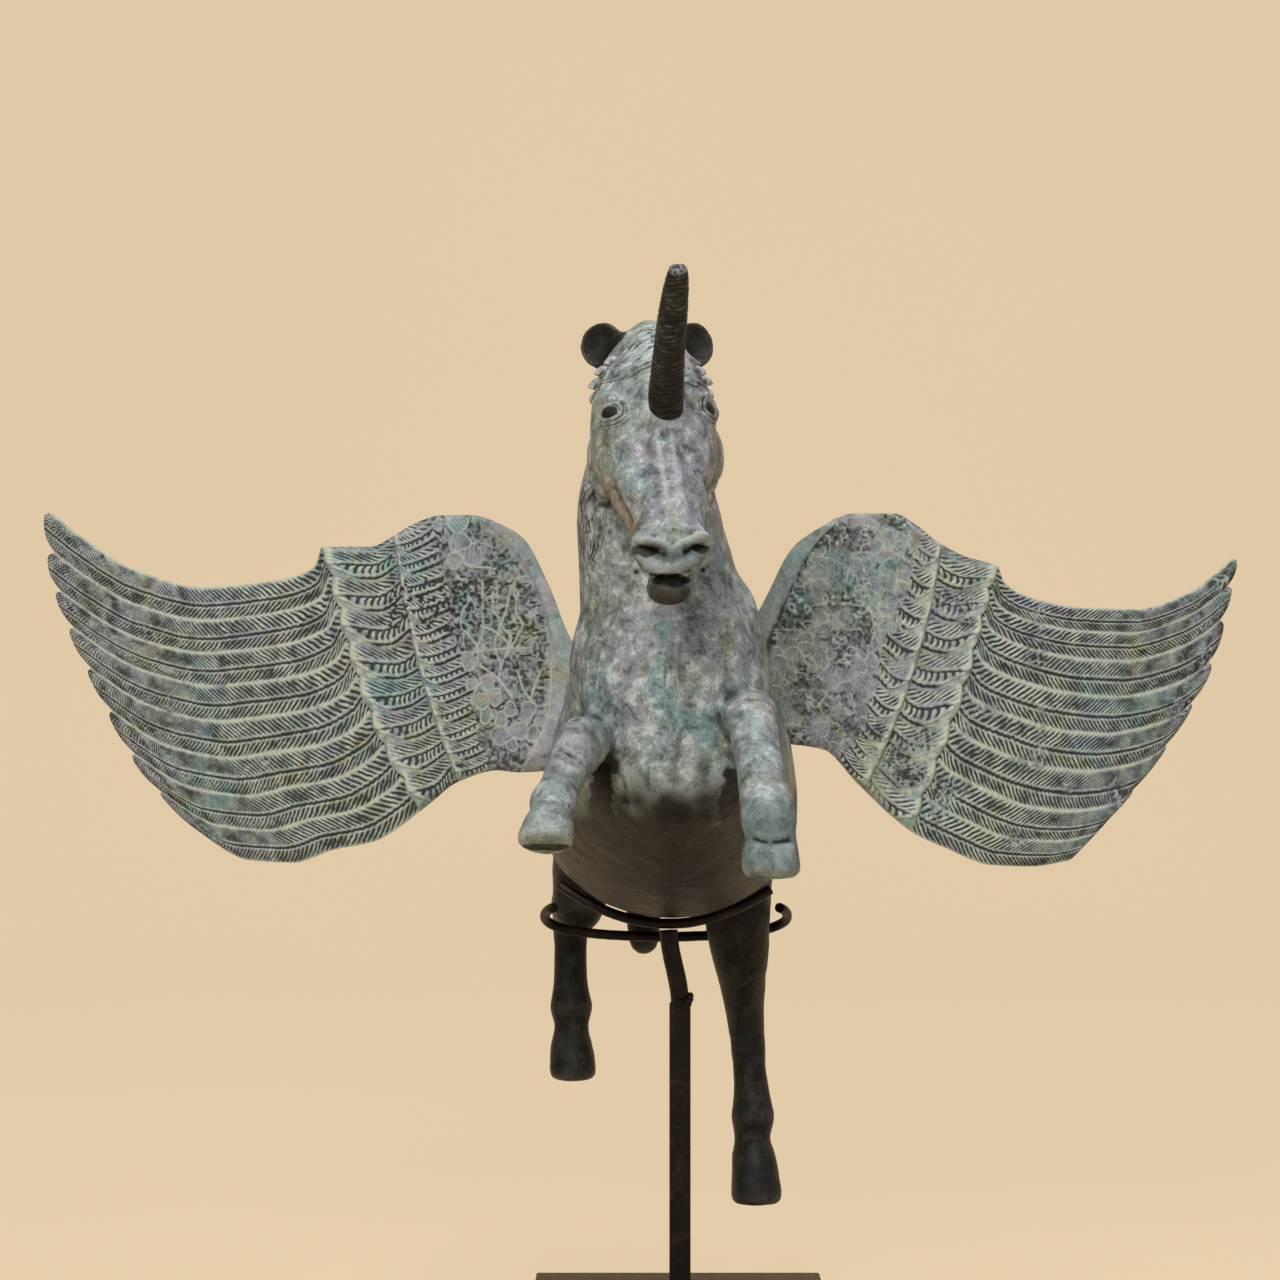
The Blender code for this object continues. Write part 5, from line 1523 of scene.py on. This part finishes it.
def build_hair(tree):
    """Forelock swept to both sides of the horn, and the mane that shows beside the neck."""
    pieces = []
    for index, path in enumerate(FORELOCK):
        pieces += strand_bundle(f"forelock_{index}", tree, path, 2.9, 0.0002, 100 + index)
    for index, path in enumerate(SIDE_MANE):
        pieces += strand_bundle(f"side_mane_{index}", tree, path, 2.4, 0.0007, 200 + index)
    for index in range(MANE_LOCKS):
        for number, shift in enumerate(MANE_STRAND_SHIFTS):
            rows = np.array(lock_path(index, 1.04, shift))
            route = smooth_route([tuple(row[:3] * MM) for row in rows], 30)
            placed = softened_route([near_skin(tree, place, -0.0004) for place in route])
            pieces.append(tube(f"mane_{index}_{number}", placed, strand_radii(0.0019, len(placed), 0.6)))
    pieces += [curl(f"curl_{index}", tree, *row) for index, row in enumerate(CURLS)]
    hair = outward(joined("unicorn_hair", pieces))
    write_points(hair, read_points(hair))
    points = read_points(hair)
    count = len(points)
    rise = np.empty(count)
    for index, point in enumerate(points):
        hit, normal, _, _ = tree.find_nearest(Vector(point))
        rise[index] = (point - np.array(hit)) @ np.array(normal)
    # Painted shade where the strands meet the skin, going over to painted highlight on their tops.
    hollow = 0.10 + 0.62 * np.clip(rise / HAIR_RISE, 0, 1.2) + 0.15 * lattice(points, 0.002, 4)
    store_finish(hair, hollow, np.full(count, 0.12), np.zeros(count))
    return hair


def eye_frame(tree, eye):
    """Centre on the skin and the axes of one eye."""
    x, z, wide, tall, turn = eye
    hit, normal = front_hit(tree, x, z)
    if hit is None:
        raise RuntimeError("an eye has no skin under it")
    facing = (Vector(normal) + Vector((math.sin(turn), -math.cos(turn), 0.1))).normalized()
    side, lift = upright_axes(facing)
    return np.array(hit), np.array(facing), np.array(side), np.array(lift), wide * MM, tall * MM


def build_eyes(tree):
    """Eyeballs between heavy lids, with the folds round them."""
    pieces = []
    for index, eye in enumerate(EYES):
        centre, facing, side, lift, wide, tall = eye_frame(tree, eye)
        bpy.ops.object.select_all(action="DESELECT")
        bpy.ops.mesh.primitive_uv_sphere_add(segments=40, ring_count=24, radius=1.0, location=(0, 0, 0))
        ball = bpy.context.active_object
        points = read_points(ball)
        shape = points[:, :1] * side * wide * 0.66 + points[:, 1:2] * lift * tall * 0.72
        shape = shape + points[:, 2:3] * facing * 0.0030 + centre - facing * 0.0006
        write_points(ball, shape)
        pieces.append(ball)
        for number, (broad, high, radius, out) in enumerate(EYE_FOLDS):
            first, last = ((0.05, 0.95) if number else (0.0, 1.0))
            for half, start in enumerate((0.0, math.pi)):
                if number == 2 and half == 0:
                    continue
                droop = 1.0 if half == 0 else 0.82
                route = []
                for turn in start + math.pi * np.linspace(first, last, 25):
                    across = math.cos(turn) * wide * broad
                    up = math.sin(turn) * tall * high * droop
                    route.append(near_skin(tree, centre + side * across + lift * up, out))
                radii = radius * np.sin(np.linspace(0.25, math.pi - 0.25, len(route))) ** 0.5
                pieces.append(tube(f"lid_{index}_{number}_{half}", route, radii))
        pieces.append(tube(f"knob_{index}", [
            centre + lift * tall * 1.06 - side * wide * 0.26 + facing * 0.0006,
            centre + lift * tall * 1.16 + facing * 0.0012,
            centre + lift * tall * 1.06 + side * wide * 0.26 + facing * 0.0006,
        ], (0.0010, 0.0017, 0.0010)))
    eyes = outward(joined("unicorn_eyes", pieces))
    points = read_points(eyes)
    hollow = 0.55 + 0.3 * lattice(points, 0.0018, 14)
    dark = np.zeros(len(points))
    for eye in EYES:
        centre, facing, side, lift, wide, tall = eye_frame(tree, eye)
        gap = np.hypot((points - centre) @ side / (wide * 0.62), (points - centre) @ lift / (tall * 0.66))
        dark = np.maximum(dark, np.clip((1 - gap) * 3, 0, 0.75))
    store_finish(eyes, hollow, dark, np.zeros(len(points)))
    return eyes


# Stand

def smoothed_copy(node, name, rounds):
    """A copy of a solid with its triangles merged to quads and rounded by subdivision."""
    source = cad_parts[node]
    mesh = source.data.copy()
    obj = bpy.data.objects.new(name, mesh)
    bpy.context.scene.collection.objects.link(obj)
    obj.matrix_world = source.matrix_world.copy()
    activate(obj)
    bpy.ops.object.mode_set(mode="EDIT")
    bpy.ops.mesh.select_all(action="SELECT")
    bpy.ops.mesh.remove_doubles(threshold=1e-5)
    bpy.ops.mesh.tris_convert_to_quads(face_threshold=0.9, shape_threshold=3.1)
    bpy.ops.mesh.select_all(action="DESELECT")
    bpy.ops.mesh.select_mode(type="EDGE")
    bpy.ops.mesh.edges_select_sharp(sharpness=math.radians(60))
    bpy.ops.transform.edge_crease(value=0.75)
    bpy.ops.object.mode_set(mode="OBJECT")
    applied(obj, "SUBSURF", levels=rounds, render_levels=rounds)
    return obj


def roughened(obj, amount, spacing, seed):
    """Uneven surface of forged stock."""
    points, normals = read_points(obj), read_normals(obj)
    bumps = amount * (lattice(points, spacing, seed) + 0.5 * lattice(points, spacing * 0.4, seed + 1) - 0.9)
    write_points(obj, points + normals * bumps[:, None])


def weld_lump(name, centre, radius, seed):
    """A knobbly bead of weld."""
    bpy.ops.object.select_all(action="DESELECT")
    bpy.ops.mesh.primitive_ico_sphere_add(subdivisions=4, radius=radius, location=(0, 0, 0))
    obj = bpy.context.active_object
    obj.name = name
    points = read_points(obj)
    coarse = 0.28 * lattice(points + seed, radius * 0.7, seed)
    lumps = 1 + coarse + 0.12 * lattice(points, radius * 0.3, seed + 2)
    obj.data.vertices.foreach_set("co", (points * lumps[:, None] + np.array(centre)).ravel())
    obj.data.update()
    return obj


# Materials

class Nodes:
    """A short way to lay out shader nodes."""

    def __init__(self, name):
        self.material = bpy.data.materials.new(name)
        self.material.use_nodes = True
        self.tree = self.material.node_tree
        self.shader = self.tree.nodes["Principled BSDF"]
        self.place = self.add("ShaderNodeTexCoord").outputs["Object"]

    def add(self, kind, **settings):
        node = self.tree.nodes.new(kind)
        for key, value in settings.items():
            setattr(node, key, value)
        return node

    def link(self, source, target):
        """Feeds a socket from another socket, a number or a colour."""
        if isinstance(source, bpy.types.NodeSocket):
            self.tree.links.new(source, target)
        elif isinstance(source, (int, float)):
            target.default_value = source
        else:
            target.default_value = (*tuple(source)[:3], 1.0)

    def noise(self, scale, detail=6.0, roughness=0.6, distortion=0.0, stretch=(1, 1, 1)):
        """Fractal noise from 0 to 1 on the piece's own coordinates, which the stretch can draw out."""
        node = self.add("ShaderNodeTexNoise")
        mapping = self.add("ShaderNodeMapping")
        mapping.inputs["Scale"].default_value = stretch
        self.link(self.place, mapping.inputs["Vector"])
        self.link(mapping.outputs["Vector"], node.inputs["Vector"])
        settings = {"Scale": scale, "Detail": detail, "Roughness": roughness, "Distortion": distortion}
        for key, value in settings.items():
            node.inputs[key].default_value = value
        return node.outputs["Fac"]

    def ramp(self, source, low, high):
        """0 to 1 as the source goes smoothly from low to high, which may be the smaller."""
        node = self.add("ShaderNodeMapRange", interpolation_type="SMOOTHSTEP")
        node.inputs["From Min"].default_value = low
        node.inputs["From Max"].default_value = high
        self.link(source, node.inputs["Value"])
        return node.outputs["Result"]

    def mix(self, factor, first, second, blend="MIX"):
        node = self.add("ShaderNodeMix", data_type="RGBA", blend_type=blend)
        self.link(factor, node.inputs["Factor"])
        self.link(first, node.inputs["A"])
        self.link(second, node.inputs["B"])
        return [output for output in node.outputs if output.type == "RGBA"][0]

    def math(self, operation, first, second=0.0, clamp=False):
        node = self.add("ShaderNodeMath", operation=operation, use_clamp=clamp)
        self.link(first, node.inputs[0])
        self.link(second, node.inputs[1])
        return node.outputs[0]

    def times(self, first, second):
        return self.math("MULTIPLY", first, second)

    def layer(self, base, share, strength, colour):
        """The base with a colour laid over it where the share says, at that strength."""
        return self.mix(self.times(share, strength), base, colour)

    def shed(self, share, strength):
        """What is left of 1 after the share at that strength is taken off."""
        return self.math("SUBTRACT", 1.0, self.times(share, strength))

    def finish(self):
        """The ridge height, darkness (dark patina and painted shade), stain and tone that each piece
        carries.
        """
        node = self.add("ShaderNodeAttribute", attribute_name="finish")
        split = self.add("ShaderNodeSeparateColor")
        self.link(node.outputs["Color"], split.inputs["Color"])
        return split.outputs["Red"], split.outputs["Green"], split.outputs["Blue"], node.outputs["Alpha"]

    def bump(self, source, distance, strength=1.0, below=None):
        node = self.add("ShaderNodeBump")
        node.inputs["Distance"].default_value = distance
        node.inputs["Strength"].default_value = strength
        self.link(source, node.inputs["Height"])
        if below is not None:
            self.link(below, node.inputs["Normal"])
        return node.outputs["Normal"]


def patina_colour(nodes, carved):
    """Grey green, violet, teal and olive patches; pale on ridges as worn patina and painted highlight, dark
    in hollows as patina and painted shade, and brown where the darkness says.
    """
    tint = colours()
    pale = tint.bloom_and_highlight if carved else tint.frost
    hollow, dark, stain, tone = nodes.finish()
    patches = nodes.noise(19, 7, 0.66, 0.3)
    mottle = nodes.noise(105, 10, 0.78, 0.2)
    fine = nodes.noise(330, 8, 0.78, 0.2)
    speck = nodes.noise(760, 5, 0.8)
    base = nodes.mix(nodes.ramp(patches, 0.45, 0.56), tint.verdigris, tint.ash)
    base = nodes.layer(base, nodes.ramp(nodes.noise(33, 8, 0.7, 0.4), 0.53, 0.63), 0.70, OLIVE)
    base = nodes.layer(base, nodes.ramp(nodes.noise(25, 8, 0.7, 0.5), 0.53, 0.63), 0.70, TEAL)
    base = nodes.layer(base, nodes.ramp(nodes.noise(41, 8, 0.7, 0.3), 0.60, 0.68), 0.40, RUST)
    cool = nodes.math("SUBTRACT", 1.0, tone)
    base = nodes.layer(base, cool, 0.85, COLD_TEAL)
    worn = nodes.times(nodes.ramp(mottle, 0.50, 0.62), 0.42 if carved else 0.82)
    base = nodes.mix(nodes.times(worn, nodes.shed(cool, 0.85)), base, pale)
    base = nodes.layer(base, nodes.ramp(mottle, 0.49, 0.39), 0.55 if carved else 0.80, SCUM)
    if not carved:
        streak = nodes.ramp(nodes.noise(150, 7, 0.75, 0.2, (1, 1, 0.22)), 0.45, 0.36)
        base = nodes.layer(base, streak, 0.65, STREAK)
    # Ridges are painted pale and hollows dark: partly worn patina and patina left in the hollows, partly
    # painted highlight and painted shade.
    rubbed_and_highlit = nodes.ramp(hollow, 0.55, 0.92) if carved else nodes.ramp(hollow, 0.54, 0.90)
    rubbed_and_highlit = nodes.times(rubbed_and_highlit, nodes.shed(cool, 0.6))
    base = nodes.layer(base, rubbed_and_highlit, 0.90 if carved else 0.45, pale)
    sunk = nodes.ramp(hollow, 0.50, 0.20) if carved else nodes.ramp(hollow, 0.40, 0.10)
    pits = nodes.times(nodes.ramp(speck, 0.43, 0.35), 0.70)
    cracks = nodes.times(nodes.ramp(fine, 0.42, 0.34), 0.85)
    grime_and_shade = nodes.math("MAXIMUM", sunk, nodes.math("MAXIMUM", pits, cracks))
    base = nodes.layer(base, grime_and_shade, 0.94, GRIME_AND_SHADE)
    base = nodes.layer(base, nodes.ramp(fine, 0.59, 0.68), 0.38, FLECK)
    base = nodes.layer(base, stain, 0.85, tint.ochre)
    # Brown where the darkness is high: dark patina on the hind legs, tail and horn, and painted shade on
    # the underside and in the recesses of the shade patches.
    edge = nodes.math("ADD", dark, nodes.times(nodes.math("SUBTRACT", mottle, 0.5), 0.9))
    shade = nodes.times(nodes.ramp(edge, 0.26, 0.70), 0.97)
    brown = nodes.mix(nodes.ramp(mottle, 0.49, 0.62), tint.umber, WARM_BROWN)
    brown = nodes.layer(brown, nodes.ramp(fine, 0.56, 0.70), 0.6, DRY_BROWN)
    brown = nodes.layer(brown, nodes.ramp(speck, 0.60, 0.70), 0.35, DUST)
    # Paler brown on ridges: partly worn patina, partly painted highlight.
    brown = nodes.layer(brown, nodes.ramp(hollow, 0.62, 0.95), 0.5, WORN_AND_HIGHLIT_BROWN)
    return nodes.mix(shade, base, brown), mottle, fine, speck, grime_and_shade


def patina_material(name, carved):
    """Waxed verdigris over dark bronze: mottled, pale on ridges and brown in hollows, partly patina and
    partly painted highlight and painted shade.
    """
    nodes = Nodes(name)
    inputs = nodes.shader.inputs
    base, mottle, fine, speck, grime_and_shade = patina_colour(nodes, carved)
    nodes.link(base, inputs["Base Color"])
    rough = nodes.math("ADD", nodes.times(fine, 0.40), 0.20)
    nodes.link(nodes.math("ADD", rough, nodes.times(grime_and_shade, 0.25), True), inputs["Roughness"])
    inputs["Specular IOR Level"].default_value = 0.24 if carved else 0.15
    nodes.link(nodes.times(nodes.ramp(mottle, 0.60, 0.38), 0.25), inputs["Metallic"])
    first = nodes.bump(mottle, 0.0016, 0.40)
    second = nodes.bump(fine, 0.0008, 0.6, first)
    nodes.link(nodes.bump(speck, 0.0003, 0.5, second), inputs["Normal"])
    return nodes.material


def iron_material(name, colour, rust_share):
    """Blackened iron with a rust cast, worn a little in fine specks."""
    nodes = Nodes(name)
    inputs = nodes.shader.inputs
    cloud = nodes.noise(45, 7, 0.65, 0.8)
    fine = nodes.noise(420, 8, 0.7)
    base = nodes.layer(colour, nodes.ramp(cloud, 0.50, 0.68), rust_share, IRON_RUST)
    base = nodes.layer(base, nodes.ramp(fine, 0.60, 0.75), 0.45, IRON_RUBBED)
    base = nodes.layer(base, nodes.ramp(fine, 0.42, 0.28), 0.8, IRON_SOOT)
    nodes.link(base, inputs["Base Color"])
    nodes.link(nodes.math("ADD", nodes.times(fine, 0.4), 0.26), inputs["Roughness"])
    inputs["Metallic"].default_value = 0.35
    inputs["Specular IOR Level"].default_value = 0.20
    first = nodes.bump(cloud, 0.0008, 0.4)
    nodes.link(nodes.bump(fine, 0.0003, 0.7, first), inputs["Normal"])
    return nodes.material


def backdrop_material():
    """Warm pale paper that looks even to the camera and still takes a soft shadow."""
    nodes = Nodes("warm_backdrop")
    cloud = nodes.ramp(nodes.noise(0.9, 2, 0.5), 0.3, 0.7)
    colour = nodes.layer(colours().backdrop, cloud, 0.05, BACKDROP_CLOUD)
    nodes.link(colour, nodes.shader.inputs["Base Color"])
    nodes.shader.inputs["Roughness"].default_value = 0.9
    nodes.shader.inputs["Specular IOR Level"].default_value = 0.1
    glow = nodes.add("ShaderNodeEmission")
    nodes.link(colour, glow.inputs["Color"])
    path = nodes.add("ShaderNodeLightPath")
    seen = nodes.math("MAXIMUM", path.outputs["Is Camera Ray"], path.outputs["Is Glossy Ray"])
    seen = nodes.math("MAXIMUM", seen, path.outputs["Is Transmission Ray"])
    blend = nodes.add("ShaderNodeMixShader")
    nodes.link(nodes.times(seen, 0.88), blend.inputs["Fac"])
    nodes.link(nodes.shader.outputs["BSDF"], blend.inputs[1])
    nodes.link(glow.outputs["Emission"], blend.inputs[2])
    output = next(node for node in nodes.tree.nodes if node.type == "OUTPUT_MATERIAL")
    nodes.link(blend.outputs["Shader"], output.inputs["Surface"])
    return nodes.material


def skin_tree():
    """The finished skin, ready for finding points on it."""
    skin = bpy.data.objects.get("unicorn_skin")
    if skin is None:
        raise RuntimeError("the skin is built before its eyes and hair")
    return BVHTree.FromObject(skin, bpy.context.evaluated_depsgraph_get())


def patina(carved):
    """The patina of the carved pieces or of the plain skin, made once."""
    name = "carved_patina" if carved else "skin_patina"
    return bpy.data.materials.get(name) or patina_material(name, carved)


class UNICORN_OT_skin(bpy.types.Operator):
    """Body, neck, head, ears, legs, tail and mane as one tooled skin"""

    bl_idname = "unicorn.skin"
    bl_label = "Build skin"

    def execute(self, context):
        dress(build_skin(), patina(False))
        return {"FINISHED"}


class UNICORN_OT_wings(bpy.types.Operator):
    """Both wings, with carved long feathers, coverts and scales"""

    bl_idname = "unicorn.wings"
    bl_label = "Build wings"

    def execute(self, context):
        for side, outline, left in (("left", LEFT_WING, True), ("right", RIGHT_WING, False)):
            dress(build_long_feathers(f"{side}_long_feathers", outline, left), patina(True))
            dress(build_coverts(f"{side}_coverts", outline, left), patina(True))
        return {"FINISHED"}


class UNICORN_OT_horn(bpy.types.Operator):
    """The ringed horn with its blunt tip"""

    bl_idname = "unicorn.horn"
    bl_label = "Build horn"

    def execute(self, context):
        dress(build_horn(), patina(True))
        return {"FINISHED"}


class UNICORN_OT_eyes(bpy.types.Operator):
    """Eyes with heavy lids and folds"""

    bl_idname = "unicorn.eyes"
    bl_label = "Build eyes"

    def execute(self, context):
        dress(build_eyes(skin_tree()), patina(False))
        return {"FINISHED"}


class UNICORN_OT_hair(bpy.types.Operator):
    """Forelock and mane strands laid on the skin"""

    bl_idname = "unicorn.hair"
    bl_label = "Build hair"

    def execute(self, context):
        dress(build_hair(skin_tree()), patina(False))
        return {"FINISHED"}


class UNICORN_OT_stand(bpy.types.Operator):
    """Rods, post and plate in blackened iron, with the weld under the cradle"""

    bl_idname = "unicorn.stand"
    bl_label = "Finish stand"

    def execute(self, context):
        iron = iron_material("blackened_iron", colours().iron, 0.35)
        # The plate's brown is a painted reflection of the backdrop.
        plate = iron_material("plate_iron_painted_reflection", PAINTED_PLATE_REFLECTION, 0.4)
        for node in FORGED_RODS:
            piece = smoothed_copy(node, f"{node}_forged", 2)
            roughened(piece, 0.00010, 0.006, 3)
            dress(piece, iron, node)
        for node, material in (("stand_post", iron), ("base_plate", plate)):
            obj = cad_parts[node]
            obj.data.materials.clear()
            obj.data.materials.append(material)
        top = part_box("stand_post")[1][2]
        beads = [
            weld_lump(f"weld_{index}", (x, y, top + rise), radius, seed)
            for index, (x, y, rise, radius, seed) in enumerate(WELD_BEADS)
        ]
        dress(joined("neck_weld", beads), iron, "neck_rod")
        return {"FINISHED"}


class UNICORN_OT_stage(bpy.types.Operator):
    """Camera, lamps, world and the warm backdrop"""

    bl_idname = "unicorn.stage"
    bl_label = "Set stage"

    def execute(self, context):
        build_backdrop()
        for lamp in LAMPS:
            add_lamp(*lamp)
        world = bpy.data.worlds.new("studio")
        world.use_nodes = True
        background = world.node_tree.nodes["Background"]
        background.inputs["Color"].default_value = WORLD_COLOUR
        background.inputs["Strength"].default_value = WORLD_STRENGTH
        context.scene.world = world
        camera_data = bpy.data.cameras.new("view")
        camera_data.lens = EYE_LENS
        camera_data.sensor_width = SENSOR_WIDTH
        camera = bpy.data.objects.new("view", camera_data)
        camera.location = EYE_POINT
        camera.rotation_euler = (math.radians(90), 0, 0)
        context.scene.collection.objects.link(camera)
        context.scene.camera = camera
        context.scene.view_settings.view_transform = "Standard"
        return {"FINISHED"}


def add_lamp(name, place, size, power, colour):
    """A square softbox that points at the chest."""
    data = bpy.data.lights.new(name, "AREA")
    data.shape = "SQUARE"
    data.size = size
    data.energy = power
    data.color = colour
    lamp = bpy.data.objects.new(name, data)
    lamp.location = place
    aim = Vector(LAMP_AIM) - Vector(place)
    lamp.rotation_euler = aim.to_track_quat("-Z", "Y").to_euler()
    bpy.context.scene.collection.objects.link(lamp)


def build_backdrop():
    """A floor that curves up into a wall behind the statue."""
    profile = [(FLOOR_FRONT, 0.0), (FLOOR_BACK, 0.0)]
    for turn in np.linspace(0, math.pi / 2, CURVE_STEPS + 1)[1:]:
        profile.append((FLOOR_BACK + CURVE_RADIUS * math.sin(turn), CURVE_RADIUS * (1 - math.cos(turn))))
    profile.append((FLOOR_BACK + CURVE_RADIUS, WALL_TOP))
    points = [(x, y, z) for y, z in profile for x in (-FLOOR_HALF_WIDTH, FLOOR_HALF_WIDTH)]
    faces = [(2 * i, 2 * i + 1, 2 * i + 3, 2 * i + 2) for i in range(len(profile) - 1)]
    obj = add_mesh("backdrop", points, faces)
    obj.data.materials.append(backdrop_material())
    activate(obj)
    bpy.ops.object.shade_smooth()


class UNICORN_PT_panel(bpy.types.Panel):
    """Lists the pieces of the statue"""

    bl_label = "Winged unicorn"
    bl_idname = "UNICORN_PT_panel"
    bl_space_type = "VIEW_3D"
    bl_region_type = "UI"
    bl_category = "Unicorn"

    def draw(self, context):
        layout = self.layout
        for group in (context.scene.unicorn_sizes, context.scene.unicorn_colours):
            for name in group.__annotations__:
                layout.prop(group, name)
        for operator in OPERATORS:
            layout.operator(operator.bl_idname)


OPERATORS = (
    UNICORN_OT_stage, UNICORN_OT_skin, UNICORN_OT_wings, UNICORN_OT_horn,
    UNICORN_OT_eyes, UNICORN_OT_hair, UNICORN_OT_stand,
)
CLASSES = (UnicornSizes, UnicornColours, *OPERATORS, UNICORN_PT_panel)


def register():
    for item in CLASSES:
        bpy.utils.register_class(item)
    bpy.types.Scene.unicorn_sizes = PointerProperty(type=UnicornSizes)
    bpy.types.Scene.unicorn_colours = PointerProperty(type=UnicornColours)


def unregister():
    del bpy.types.Scene.unicorn_colours
    del bpy.types.Scene.unicorn_sizes
    for item in reversed(CLASSES):
        bpy.utils.unregister_class(item)


def main():
    register()
    bpy.ops.unicorn.stage()
    bpy.ops.unicorn.skin()
    bpy.ops.unicorn.eyes()
    bpy.ops.unicorn.hair()
    bpy.ops.unicorn.wings()
    bpy.ops.unicorn.horn()
    bpy.ops.unicorn.stand()


if __name__ == "__main__":
    main()
